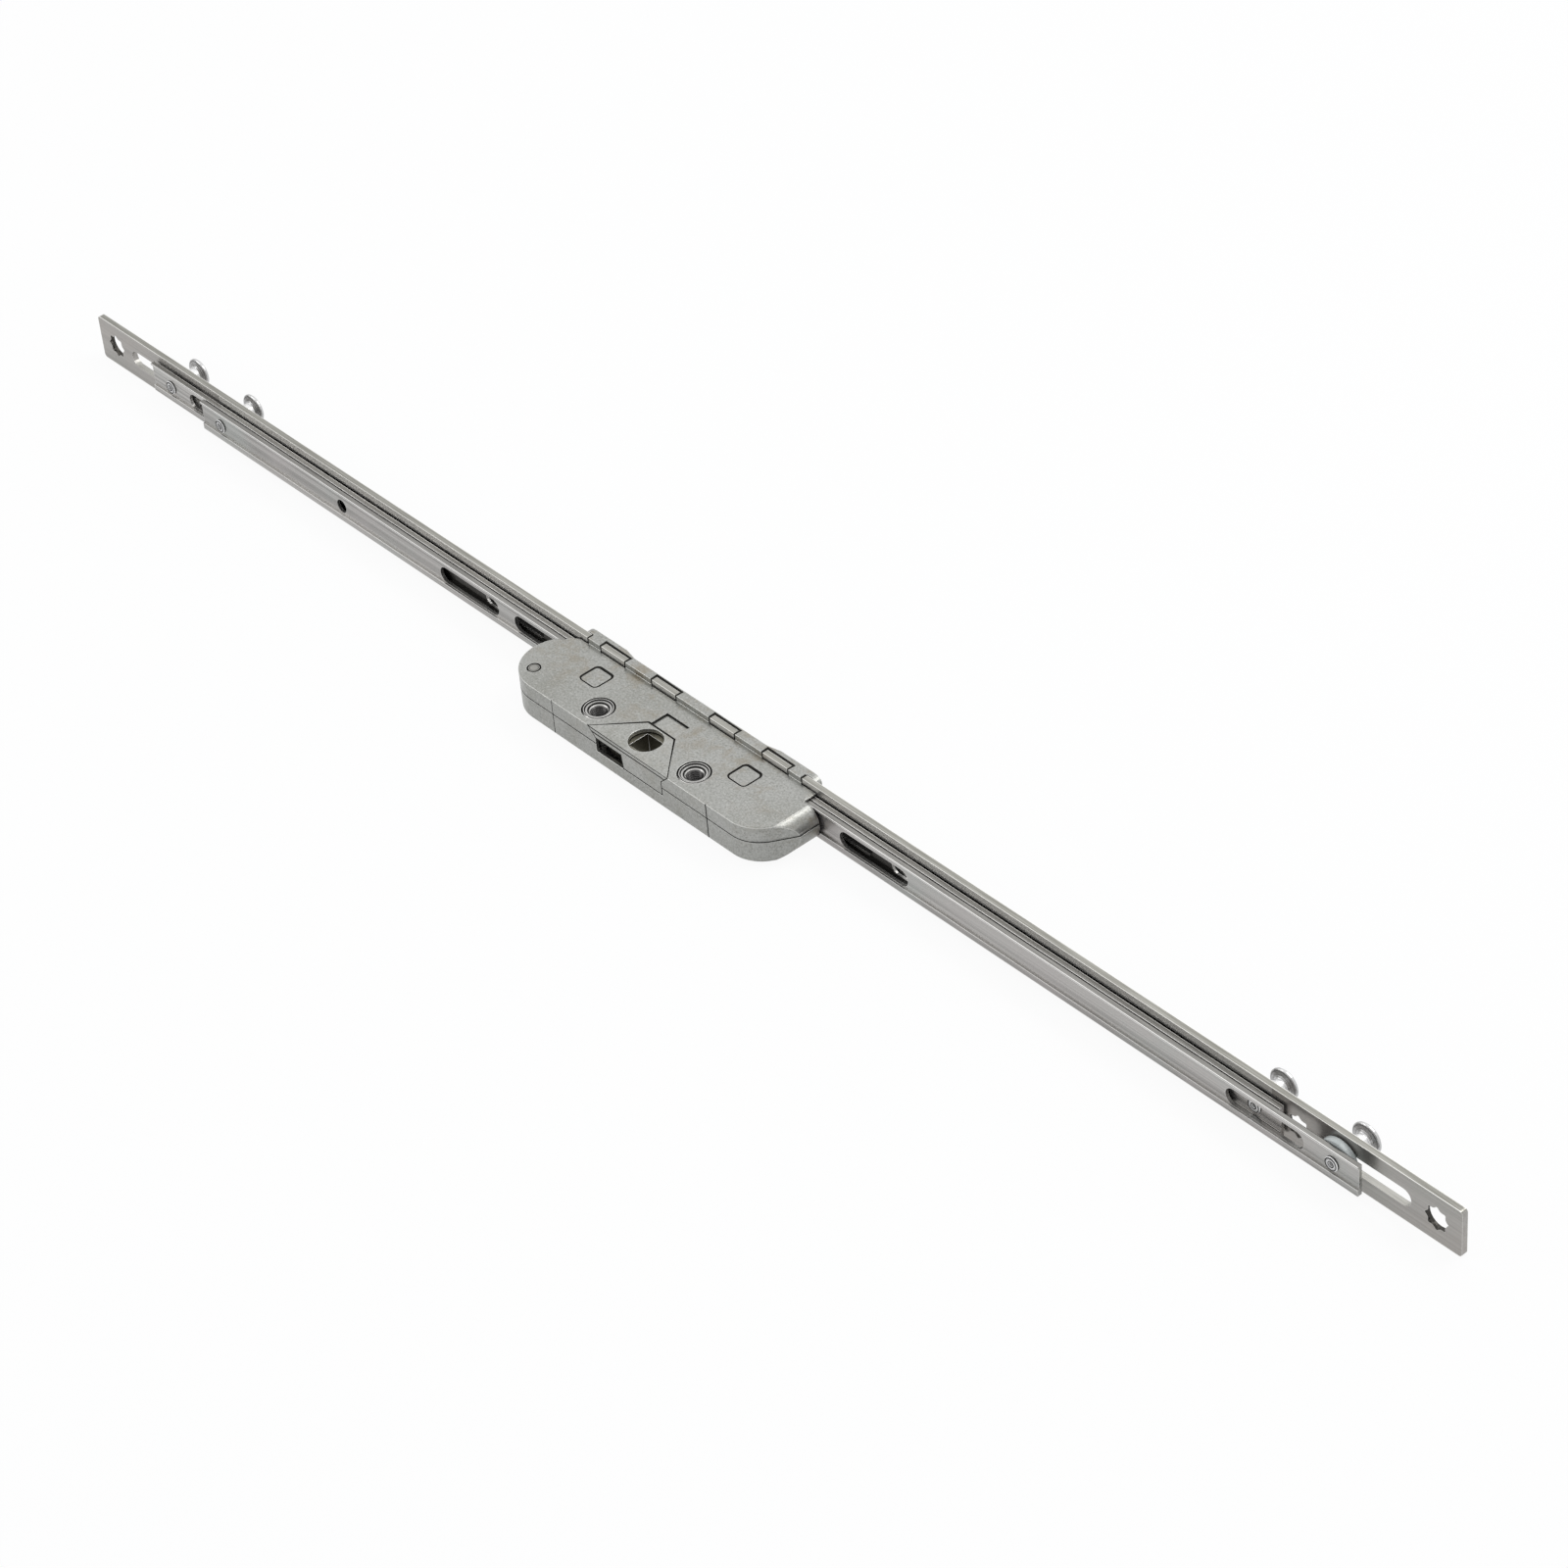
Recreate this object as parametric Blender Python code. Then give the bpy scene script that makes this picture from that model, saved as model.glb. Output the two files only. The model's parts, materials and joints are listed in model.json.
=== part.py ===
"""Window espagnolette gearbox: an inline bar lock with two rails that slide opposite ways.

X runs along the bar, Y points out of the front of the bar (where the mushroom cams stand),
Z is across the bar. The back face of the bar lies on Y = 0. Metres.
"""

import math

import bmesh
import bpy
from mathutils import Matrix, Vector

MM = 0.001

# Bar
BAR_LENGTH = 600.0 * MM
BAR_WIDTH = 16.0 * MM
BAR_THICKNESS = 2.0 * MM
BAR_CORNER = 1.2 * MM

# Clearances
SEAM = 0.3 * MM             # between parts that are clamped or cast beside each other
RUNNING = 0.35 * MM         # between parts that slide or turn on each other
FIT = 0.25 * MM             # around pins and rivets

# Rails
RAIL_WIDTH = 10.5 * MM
RAIL_THICKNESS = 1.65 * MM
RAIL_OFFSET = 14.85 * MM    # how far each rail stands off centre at rest
RAIL_STANDOFF = 0.7 * MM    # bar to inner rail
RAIL_RECESS = 0.6 * MM      # depth of the channel in a rail
LIP_BOTTOM = 2.2 * MM
LIP_TOP = 0.65 * MM

# Slots and screw holes
END_SCREW_MARGIN = 8.8 * MM     # end of the bar to the last screw hole
SCREW_LAND = 4.75 * MM          # metal between that hole and the cam slot
SCREW_FROM_CAM = 15.7 * MM
SCREW_INNER = 91.2 * MM
CAM_SLOT_SPARE = 3.24 * MM      # slot left over past the end of a cam's travel
CAM_MARGIN = 9.55 * MM          # cam to the end of its rail
RAIL_SLOT_LENGTH = 28.6 * MM
LEAD_OUTER = 5.7 * MM           # from a screw hole to the end of the rail slot over it
LEAD_INNER = 4.75 * MM
SLOT_LAND = 7.45 * MM           # metal between that slot and the one into the pinion window
STAR_TIP_RADIUS = 4.0 * MM
STAR_ROOT_RADIUS = 3.3 * MM
STAR_POINTS = 8
STAR_DEPTH = 0.8 * MM           # star at the back of a screw hole; in front of it the hole is round
STAR_RELIEF = 0.1 * MM          # radius of the round part over the tips
RAIL_PIP_X = 164.8 * MM
RAIL_PIP_RADIUS = 2.35 * MM

# Cams
CAM_STEM_RADIUS = 2.6 * MM
CAM_SPIGOT_RADIUS = 1.7 * MM
CAM_TAIL_RADIUS = 2.3 * MM
CAM_TAIL_HEIGHT = 0.35 * MM
CAM_HEAD_RADIUS = 4.95 * MM
CAM_HEAD_THICKNESS = 1.5 * MM
CAM_PROJECTION = 8.0 * MM       # cam head above the front of the bar
SPACER_RADIUS = 6.5 * MM

# Gearbox casing
BACKSET = 20.0 * MM             # front of the bar to the spindle axis
CASE_RIGHT_REACH = 60.0 * MM    # spindle axis to the right end
CASE_LEFT_REACH = 58.3 * MM     # the left end is a half round in plan
CASE_CORNER = 12.0 * MM
CASE_FLANK_TURN = 60.0          # degrees from the back wall to the flank after the corner
CASE_FLANK_END_Y = 12.0 * MM    # the flank meets the rounded end here
CASE_LEFT_RADIUS = 13.0 * MM
CASE_END_RADIUS = 6.9 * MM      # rounding of the right end, seen from the back
RAIL_COVER = 0.5 * MM           # skin of the casing over the edges of the rails
CASE_SKIN = 1.3 * MM
CASE_WALL = 1.1 * MM
CASE_RIGHT_BLOCK = 14.5 * MM    # solid metal at the ends of the cavity
CASE_LEFT_BLOCK = 12.8 * MM
SKIN_INSET_RIGHT = 6.0 * MM     # the skin over the rails stops short of the ends
SKIN_INSET_LEFT = 4.3 * MM
PARTING_Z = 0.9 * MM
WALL_SEAM_X = 34.6 * MM
WALL_SEAM_WIDTH = 0.3 * MM
WALL_SEAM_DEPTH = 0.35 * MM

# Collar round the bar
NOTCH_GAP = 0.4 * MM
FINGER_MID = 7.25 * MM
FINGER_SIDE = (18.75 * MM, 30.5 * MM)
FINGER_END = (42.0 * MM, 47.5 * MM)
COLLAR_OVERHANG = 4.9 * MM
COLLAR_CORNER = 3.6 * MM
COLLAR_THICKNESS = 0.8 * MM
COLLAR_SWELL = 1.1 * MM
COLLAR_SWELL_SPAN = (29.5 * MM, 34.5 * MM)

# Handle fixing and spindle
SCREW_PITCH = 43.0 * MM
BUSH_BORE_RADIUS = 2.5 * MM
BUSH_WALL = 1.4 * MM
BUSH_FLANGE_WIDTH = 1.05 * MM
BUSH_FLANGE_THICKNESS = 0.8 * MM
BUSH_RIM = 0.65 * MM            # flat rim round the dish
BUSH_DISH_DEPTH = 0.35 * MM
BUSH_COUNTERSINK = 0.8 * MM
SPINDLE_SQUARE = 7.1 * MM
HUB_WALL = 0.78 * MM            # at the corners of the square
HUB_LIP = 0.45 * MM             # casing over the edge of the hub
HUB_SINK = 1.6 * MM             # hub end below the face of the casing

# Insert plate round the spindle
INSERT_FROM_SCREW = 3.8 * MM
INSERT_HALF_INNER = 5.7 * MM
INSERT_RIM = 0.35 * MM
TONGUE_HALF = 4.6 * MM
TONGUE_LENGTH = 6.4 * MM
TONGUE_SINK = 0.45 * MM
SKIRT_INSET = 3.1 * MM
SKIRT_TAPER_Z = 3.1 * MM
SKIRT_FOOT = 1.7 * MM           # below the middle of the casing
WINDOW_EDGE_X = 2.6 * MM

# Posts and rivets of the casing
POST_X = 33.2 * MM
POST_FROM_RAIL = 0.9 * MM
POST_SIDE = 7.0 * MM
POST_CORNER = 1.2 * MM
POST_GAP = 0.4 * MM
RIVET_INSET_LEFT = 7.9 * MM
RIVET_INSET_RIGHT = 9.6 * MM
RIVET_FROM_BACK = 6.4 * MM
RIVET_RADIUS = 2.0 * MM
RIVET_BLIND_Z = 3.0 * MM

# Follower and drive rack
DRIVE_TEETH = 23
DRIVE_TURN = math.radians(90.0)
DRIVE_ANGLE = math.radians(20.0)
DRIVE_SEGMENT_TEETH = 9
DRIVE_WIDTH = 5.0 * MM
RACK_LINE = 2.15 * MM           # back of the outer rail to the pitch line of the rack
RACK_LAND = 2.1 * MM            # rack to the pinion windows beside it
RACK_WIDTH = 4.8 * MM
RACK_PAD = 4.0 * MM
RACK_RIVET_RADIUS = 1.0 * MM
BACKLASH = 0.12 * MM

# Reversing pinions
PINION_MODULE = 0.75 * MM
PINION_TEETH = 8
PINION_ANGLE = math.radians(28.0)
PINION_ADDENDUM = 0.6 * MM
PINION_CLEARANCE = 0.25 * MM
AXLE_RADIUS = 1.1 * MM
AXLE_HEAD_RADIUS = 1.9 * MM
AXLE_HEAD_THICKNESS = 0.3 * MM
AXLE_SEAT = 3.0 * MM

# Values that follow from the sizes above: through the thickness, from front to back
BAR_FRONT = BAR_THICKNESS
SPINDLE_Y = BAR_FRONT - BACKSET
INNER_FRONT = -RAIL_STANDOFF
INNER_BACK = INNER_FRONT - RAIL_THICKNESS
OUTER_FRONT = INNER_BACK - RUNNING
OUTER_BACK = OUTER_FRONT - RAIL_THICKNESS
OUTER_WEB = OUTER_BACK + RAIL_RECESS
INNER_WEB = INNER_BACK + RAIL_RECESS
CHANNEL_BACK = OUTER_BACK - RUNNING
POST_Y = -CHANNEL_BACK + POST_FROM_RAIL + POST_SIDE / 2
HUB_RADIUS = SPINDLE_SQUARE / math.sqrt(2) + HUB_WALL
CASE_DEPTH = -SPINDLE_Y + HUB_RADIUS + SEAM + CASE_WALL
CAVITY_BACK = -CASE_DEPTH + CASE_WALL
RIVET_Y = CASE_DEPTH - RIVET_FROM_BACK

# Gears
DRIVE_RADIUS = OUTER_BACK - RACK_LINE - SPINDLE_Y
DRIVE_MODULE = 2 * DRIVE_RADIUS / DRIVE_TEETH
STROKE = DRIVE_RADIUS * DRIVE_TURN
PINION_RADIUS = PINION_MODULE * PINION_TEETH / 2
PINION_TIP = PINION_RADIUS + PINION_ADDENDUM
WINDOW_REACH = PINION_TIP + 2 * RUNNING

# Along the bar, from its ends inwards
CAM_REACH = CAM_STEM_RADIUS + RUNNING
CAM_SLOT_LENGTH = STROKE + 2 * CAM_REACH + CAM_SLOT_SPARE
SLOT_HEIGHT = 2 * (CAM_STEM_RADIUS + SEAM)
SCREW_END = BAR_LENGTH / 2 - END_SCREW_MARGIN
CAM_OUTER = SCREW_END - STAR_TIP_RADIUS - SCREW_LAND - CAM_SLOT_LENGTH + CAM_REACH
CAM_INNER = CAM_OUTER - 2 * RAIL_OFFSET
SCREW_OUTER = CAM_OUTER - SCREW_FROM_CAM
RAIL_LENGTH = 2 * (CAM_OUTER + CAM_MARGIN - RAIL_OFFSET)
WINDOW_SLOT_END = SCREW_INNER - LEAD_INNER - SLOT_LAND
COLLAR_HALF = FINGER_END[1] + COLLAR_OVERHANG
RIVET_LEFT_X = -CASE_LEFT_REACH + RIVET_INSET_LEFT
RIVET_RIGHT_X = CASE_RIGHT_REACH - RIVET_INSET_RIGHT

# Across the bar
RAIL_HALF_Z = RAIL_WIDTH / 2
CHANNEL_HALF_Z = RAIL_HALF_Z + RUNNING
NOTCH_FLOOR_Z = CHANNEL_HALF_Z - SEAM
CASE_HALF_Z = CHANNEL_HALF_Z + RAIL_COVER
CASE_THICKNESS = 2 * CASE_HALF_Z
CAVITY_HALF_Z = CASE_HALF_Z - CASE_SKIN

# Handle bushes and the insert
BUSH_BODY_RADIUS = BUSH_BORE_RADIUS + BUSH_WALL
BUSH_FLANGE_RADIUS = BUSH_BODY_RADIUS + BUSH_FLANGE_WIDTH
BUSH_DISH_RADIUS = BUSH_FLANGE_RADIUS - BUSH_RIM
SPINDLE_WINDOW_RADIUS = HUB_RADIUS - HUB_LIP
INSERT_HALF_OUTER = SCREW_PITCH / 2 - INSERT_FROM_SCREW
INSERT_INNER_Y = -SPINDLE_Y - SPINDLE_WINDOW_RADIUS - INSERT_RIM
TONGUE_END_Y = INSERT_INNER_Y - TONGUE_LENGTH
SKIRT_HALF = INSERT_HALF_OUTER - SKIRT_INSET


# Materials

def material(name, colour, roughness, metallic):
    mat = bpy.data.materials.new(name)
    mat.use_nodes = True
    shader = mat.node_tree.nodes["Principled BSDF"]
    shader.inputs["Base Color"].default_value = (*colour, 1.0)
    shader.inputs["Roughness"].default_value = roughness
    shader.inputs["Metallic"].default_value = metallic
    mat.diffuse_color = (*colour, 1.0)
    return mat


# Outlines in a plane, as lists of (u, v)

def arc(cu, cv, radius, start, end, steps):
    points = []
    for i in range(steps + 1):
        a = math.radians(start + (end - start) * i / steps)
        points.append((cu + radius * math.cos(a), cv + radius * math.sin(a)))
    return points


def circle(cu, cv, radius, steps):
    return arc(cu, cv, radius, 0.0, 360.0, steps)[:-1]


def rectangle(u0, v0, u1, v1):
    return [(u0, v0), (u1, v0), (u1, v1), (u0, v1)]


def rounded_rectangle(u0, v0, u1, v1, r, steps=6):
    return (arc(u1 - r, v0 + r, r, -90, 0, steps) + arc(u1 - r, v1 - r, r, 0, 90, steps)
            + arc(u0 + r, v1 - r, r, 90, 180, steps) + arc(u0 + r, v0 + r, r, 180, 270, steps))


def slot(u0, u1, height, steps=10):
    r = height / 2
    return arc(u1 - r, 0, r, -90, 90, steps) + arc(u0 + r, 0, r, 90, 270, steps)


def star(cu, cv):
    """Hole with sharp outward tips; between two tips the edge swells towards the middle."""
    points = []
    for i in range(STAR_POINTS):
        for turn in (-0.15, 0.15, 0.5, 1.0, 1.5):
            swell = min(1.0, abs(1 - turn) / 0.85)
            radius = STAR_ROOT_RADIUS + (STAR_TIP_RADIUS - STAR_ROOT_RADIUS) * swell ** 2
            b = math.pi * (2 * i + turn) / STAR_POINTS
            points.append((cu + radius * math.cos(b), cv + radius * math.sin(b)))
    return points


def involute(angle):
    return math.tan(angle) - angle


def flank(radius, base, tip, root, half_angle, pressure, steps=5):
    """Half tooth angle against radius, from the root to the tip."""
    rows = [(root, half_angle + involute(pressure))]
    start = max(base, root)
    for i in range(steps + 1):
        rho = start + (tip - start) * i / steps
        slope = math.acos(min(1.0, base / rho))
        rows.append((rho, half_angle + involute(pressure) - involute(slope)))
    if root >= base:
        rows.pop(0)
    return rows


def gear_teeth(radius, teeth, pressure, tip, root, first, count):
    """Outline of some teeth of a gear; `first` is the angle of the first tooth's middle."""
    pitch = 2 * math.pi / teeth
    half_angle = pitch / 4 - BACKLASH / (4 * radius)
    rows = flank(radius, radius * math.cos(pressure), tip, root, half_angle, pressure)
    points = []
    for k in range(count):
        middle = first + k * pitch
        for rho, half in rows:
            points.append((rho * math.cos(middle - half), rho * math.sin(middle - half)))
        for rho, half in reversed(rows):
            points.append((rho * math.cos(middle + half), rho * math.sin(middle + half)))
    return points


def rack_edge(gaps_at, pitch, count, line, addendum, dedendum, pressure, side):
    """Zigzag edge of a rack, left to right; its gaps are centred on gaps_at + k * pitch."""
    slope = math.tan(pressure)
    half = pitch / 4 - BACKLASH / 4
    points = []
    for k in range(count):
        middle = gaps_at + (k + 0.5) * pitch
        points.append((middle - half - dedendum * slope, line - side * dedendum))
        points.append((middle - half + addendum * slope, line + side * addendum))
        points.append((middle + half - addendum * slope, line + side * addendum))
        points.append((middle + half + dedendum * slope, line - side * dedendum))
    return points


# Solids

def to_space(axis, u, v, w):
    if axis == "Z":
        return Vector((u, v, w))
    if axis == "Y":
        return Vector((u, w, v))
    return Vector((w, u, v))


def add_prism(bm, loops, axis, low, high):
    """Fill the outline (with any holes) and extrude it along the axis."""
    edges = []
    for loop in loops:
        verts = [bm.verts.new(to_space(axis, u, v, low)) for u, v in loop]
        for i, vert in enumerate(verts):
            edges.append(bm.edges.new((vert, verts[(i + 1) % len(verts)])))
    filled = bmesh.ops.triangle_fill(bm, use_beauty=True, use_dissolve=False, edges=edges)
    faces = [g for g in filled["geom"] if isinstance(g, bmesh.types.BMFace)]
    raised = bmesh.ops.extrude_face_region(bm, geom=faces)
    moved = [g for g in raised["geom"] if isinstance(g, bmesh.types.BMVert)]
    bmesh.ops.translate(bm, verts=moved, vec=to_space(axis, 0, 0, high - low))


def add_revolve(bm, profile, axis, centre, steps):
    """Turn a closed (radius, height) outline round an axis through the centre."""
    rings = []
    for radius, height in profile:
        ring = []
        for i in range(steps):
            a = 2 * math.pi * i / steps
            ring.append(to_space(axis, radius * math.cos(a), radius * math.sin(a), height) + centre)
        if radius < 1e-9:
            ring = [to_space(axis, 0, 0, height) + centre]
        rings.append([bm.verts.new(p) for p in ring])
    pairs = list(zip(rings, rings[1:] + rings[:1]))
    for one, two in pairs:
        if len(one) == 1 and len(two) == 1:
            continue
        for i in range(steps):
            j = (i + 1) % steps
            corners = [one[i % len(one)], one[j % len(one)], two[j % len(two)], two[i % len(two)]]
            unique = list(dict.fromkeys(corners))
            if len(unique) > 2:
                bm.faces.new(unique)


def make_object(name, bm, mat, parent=None, smooth=False):
    bmesh.ops.recalc_face_normals(bm, faces=bm.faces[:])
    mesh = bpy.data.meshes.new(name)
    bm.to_mesh(mesh)
    bm.free()
    obj = bpy.data.objects.new(name, mesh)
    bpy.context.scene.collection.objects.link(obj)
    if mat is not None:
        mesh.materials.append(mat)
    if smooth:
        mesh.polygons.foreach_set("use_smooth", [True] * len(mesh.polygons))
        mesh.set_sharp_from_angle(angle=math.radians(35))
    if parent is not None:
        obj.parent = parent
        obj.matrix_parent_inverse = Matrix.Translation(-parent.location)
    return obj


def tool_object(name, bm):
    obj = make_object(name, bm, None)
    obj.hide_render = True
    obj.display_type = "WIRE"
    return obj


def combine(target, tool, operation):
    mod = target.modifiers.new(tool.name, "BOOLEAN")
    mod.operation = operation
    mod.solver = "EXACT"
    mod.object = tool


def empty(name, location):
    obj = bpy.data.objects.new(name, None)
    obj.location = location
    bpy.context.scene.collection.objects.link(obj)
    return obj


# Bar

def finger_spans():
    """Fingers of the casing from left to right."""
    spans = [(-FINGER_MID, FINGER_MID)]
    for side in (-1, 1):
        for a, b in (FINGER_SIDE, FINGER_END):
            spans.append((min(side * a, side * b), max(side * a, side * b)))
    return sorted(spans)


def bar_outline():
    """Bar with notches in both long edges for the fingers of the casing."""
    half_x = BAR_LENGTH / 2
    half_z = BAR_WIDTH / 2
    floor = NOTCH_FLOOR_Z
    spans = [(a - NOTCH_GAP, b + NOTCH_GAP) for a, b in finger_spans()]
    r = BAR_CORNER
    lower = arc(-half_x + r, -half_z + r, r, 180, 270, 6)
    for a, b in spans:
        lower += [(a, -half_z), (a, -floor), (b, -floor), (b, -half_z)]
    lower += arc(half_x - r, -half_z + r, r, 270, 360, 6)
    upper = arc(half_x - r, half_z - r, r, 0, 90, 6)
    for a, b in reversed(spans):
        upper += [(b, half_z), (b, floor), (a, floor), (a, half_z)]
    upper += arc(-half_x + r, half_z - r, r, 90, 180, 6)
    return lower + upper


def cam_slots():
    loops = []
    for side in (-1, 1):
        inner_end = side * (CAM_OUTER - CAM_REACH)
        outer_end = side * (CAM_OUTER - CAM_REACH + CAM_SLOT_LENGTH)
        loops.append(slot(min(inner_end, outer_end), max(inner_end, outer_end), SLOT_HEIGHT))
        outer_end = side * (CAM_INNER + CAM_REACH)
        inner_end = side * (CAM_INNER + CAM_REACH - CAM_SLOT_LENGTH)
        loops.append(slot(min(inner_end, outer_end), max(inner_end, outer_end), SLOT_HEIGHT))
    return loops


def make_bar(mat):
    bm = bmesh.new()
    centres = [side * x for side in (-1, 1) for x in (SCREW_END, SCREW_OUTER, SCREW_INNER)]
    stars = [star(x, 0) for x in centres]
    add_prism(bm, [bar_outline()] + cam_slots() + stars, "Y", 0.0, BAR_FRONT)
    bar = make_object("faceplate", bm, mat)
    fronts = bmesh.new()
    for x in centres:
        outline = circle(x, 0, STAR_TIP_RADIUS + STAR_RELIEF, 24)
        add_prism(fronts, [outline], "Y", min(STAR_DEPTH, 0.6 * BAR_FRONT), 2 * BAR_FRONT)
    combine(bar, tool_object("screw_hole_tool", fronts), "DIFFERENCE")
    return bar


# Rails

def rail_section(back):
    """Channel section in (Y, Z); the channel faces the back."""
    front = back + RAIL_THICKNESS
    web = back + RAIL_RECESS
    h = RAIL_HALF_Z
    return [(front, -h), (front, h), (back, h), (back, h - LIP_TOP), (web, h - LIP_TOP),
            (web, -h + LIP_BOTTOM), (back, -h + LIP_BOTTOM), (back, -h)]


def toothed_window(pinion_x, hand, tooth_side):
    """Window over a pinion; teeth on one long edge, `hand` is the way the rail moves."""
    line = tooth_side * PINION_RADIUS
    clear = PINION_TIP + RUNNING
    ends = (pinion_x + hand * WINDOW_REACH, pinion_x - hand * (STROKE + WINDOW_REACH))
    low, high = min(ends), max(ends)
    pitch = math.pi * PINION_MODULE
    count = int((STROKE + 2 * PINION_TIP) / pitch)
    first = -(count // 2) - int(round(hand * STROKE / 2 / pitch))
    root = PINION_ADDENDUM + PINION_CLEARANCE
    edge = rack_edge(pinion_x + first * pitch, pitch, count, line, PINION_ADDENDUM, root,
                     PINION_ANGLE, -tooth_side)
    edge = [(u, v) for u, v in edge if low < u < high]
    depth = line + tooth_side * root
    far = -tooth_side * clear
    return [(low, depth)] + edge + [(high, depth), (high, far), (low, far)]


def rail_slot(end, length, hand):
    """Slot over a screw hole or a cam; `end` is its leading end in the rail's own hand."""
    ends = (hand * end, hand * (end - length))
    return slot(min(ends), max(ends), SLOT_HEIGHT)


def rail_openings(hand):
    """Openings of a rail. hand is +1 for the outer rail and -1 for the inner, its mirror."""
    outer_end = SCREW_OUTER + LEAD_OUTER
    in_window = POST_X + STROKE
    loops = [rail_slot(SCREW_INNER + LEAD_INNER, RAIL_SLOT_LENGTH, hand),
             rail_slot(-SCREW_INNER + LEAD_INNER, RAIL_SLOT_LENGTH, hand),
             rail_slot(-in_window, WINDOW_SLOT_END - in_window, hand),
             circle(-hand * RAIL_PIP_X, 0, RAIL_PIP_RADIUS, 16)]
    if hand > 0:
        loops.append(rail_slot(outer_end, RAIL_SLOT_LENGTH, hand))
        loops += [circle(x, 0, RACK_RIVET_RADIUS + FIT, 16) for x in rack_rivet_places()]
    else:
        reach = outer_end - CAM_INNER + 2 * STROKE + CAM_REACH
        loops.append(rail_slot(outer_end, reach, hand))
    for x in (CAM_OUTER, -CAM_INNER):
        loops.append(circle(hand * x, 0, CAM_SPIGOT_RADIUS + FIT, 24))
    return loops


def add_rail_windows(bm, hand, low, high, tooth_side):
    for side in (-1, 1):
        add_prism(bm, [toothed_window(side * POST_X, hand, tooth_side)], "Y", low, high)


def make_rail(name, hand, back, tooth_side, mat, parent):
    middle = hand * RAIL_OFFSET
    bm = bmesh.new()
    add_prism(bm, [rail_section(back)], "X", middle - RAIL_LENGTH / 2, middle + RAIL_LENGTH / 2)
    rail = make_object(name, bm, mat, parent)
    low = back - RAIL_THICKNESS
    high = back + 2 * RAIL_THICKNESS
    bm = bmesh.new()
    for loop in rail_openings(hand):
        add_prism(bm, [loop], "Y", low, high)
    combine(rail, tool_object(name + "_openings", bm), "DIFFERENCE")
    bm = bmesh.new()
    add_rail_windows(bm, hand, low, high, tooth_side)
    combine(rail, tool_object(name + "_windows", bm), "DIFFERENCE")
    return rail


# Cams

def cam_profile(web):
    """Mushroom cam in (radius, Y) with a riveted tail in the channel of its rail."""
    shoulder = web + RAIL_THICKNESS - RAIL_RECESS + FIT
    top = BAR_FRONT + CAM_PROJECTION
    under = top - CAM_HEAD_THICKNESS
    tail = web - FIT
    rim = CAM_HEAD_RADIUS
    neck = CAM_STEM_RADIUS
    return [(0.0, tail - 0.5 * CAM_TAIL_HEIGHT),
            (0.45 * CAM_TAIL_RADIUS, tail - CAM_TAIL_HEIGHT),
            (0.80 * CAM_TAIL_RADIUS, tail - CAM_TAIL_HEIGHT),
            (CAM_TAIL_RADIUS, tail - 0.45 * CAM_TAIL_HEIGHT),
            (CAM_TAIL_RADIUS, tail),
            (CAM_SPIGOT_RADIUS, tail),
            (CAM_SPIGOT_RADIUS, shoulder),
            (neck, shoulder),
            (neck, under - 0.6 * MM),
            (neck + 0.6 * MM, under),
            (rim - 0.25 * MM, under + 0.35 * MM),
            (rim, under + 0.6 * MM),
            (rim, top - 0.4 * MM),
            (rim - 0.4 * MM, top),
            (0.0, top)]


def make_cam(name, x, web, mat, parent):
    bm = bmesh.new()
    add_revolve(bm, cam_profile(web), "Y", Vector((x, 0, 0)), 32)
    return make_object(name, bm, mat, parent, smooth=True)


def make_spacer(mat, parent):
    gap = SEAM
    low = OUTER_FRONT + gap
    high = -gap
    bore = CAM_STEM_RADIUS + FIT
    edge = 0.25 * MM
    profile = [(bore, low), (SPACER_RADIUS - edge, low), (SPACER_RADIUS, low + edge),
               (SPACER_RADIUS, high - edge), (SPACER_RADIUS - edge, high), (bore, high)]
    bm = bmesh.new()
    add_revolve(bm, profile, "Y", Vector((CAM_OUTER, 0, 0)), 36)
    return make_object("nylon_spacer", bm, mat, parent, smooth=True)


# Casing

def case_plan():
    """Plan of the casing in (X, Y): a half round on the left, a corner and a flank on the right."""
    hx = CASE_RIGHT_REACH
    r = CASE_CORNER
    q = CASE_LEFT_RADIUS
    back = -CASE_DEPTH
    front = -SEAM
    turn = math.degrees(math.acos((front - back - q) / q)) if front - back < 2 * q else 0.0
    left = arc(-CASE_LEFT_REACH + q, back + q, q, 90 + turn, 270, 22)
    angle = math.radians(CASE_FLANK_TURN)
    flank_start = back + r * (1 - math.cos(angle))
    run = (-CASE_FLANK_END_Y - flank_start) / math.tan(angle)
    corner = arc(hx - run - r * math.sin(angle), back + r, r, 270, 270 + CASE_FLANK_TURN, 14)
    return [(hx, front)] + left + corner + [(hx, -CASE_FLANK_END_Y)]


def rounded_end_section():
    """Long section of the casing in (X, Z): a rounded right end, cut off by the flat faces."""
    r = CASE_END_RADIUS
    reach = math.degrees(math.asin(min(1.0, CASE_HALF_Z / r)))
    right = arc(CASE_RIGHT_REACH - r, 0, r, -reach, reach, 22)
    far = -2 * CASE_LEFT_REACH
    return right + [(far, CASE_HALF_Z), (far, -CASE_HALF_Z)]


def collar_plan():
    """Plan of the strip in front of the bar, thicker towards both ends."""
    y0 = BAR_FRONT + SEAM
    y1 = y0 + COLLAR_THICKNESS
    y2 = y1 + COLLAR_SWELL
    a, b = COLLAR_SWELL_SPAN
    r = COLLAR_SWELL
    end = COLLAR_HALF
    left = arc(-end + r, y2 - r, r, 180, 90, 6)
    right = arc(end - r, y2 - r, r, 90, 0, 6)
    rise = [(-b, y2), (-a, y1), (a, y1), (b, y2)]
    return [(-end, y0)] + left + rise + right + [(end, y0)]


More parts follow.
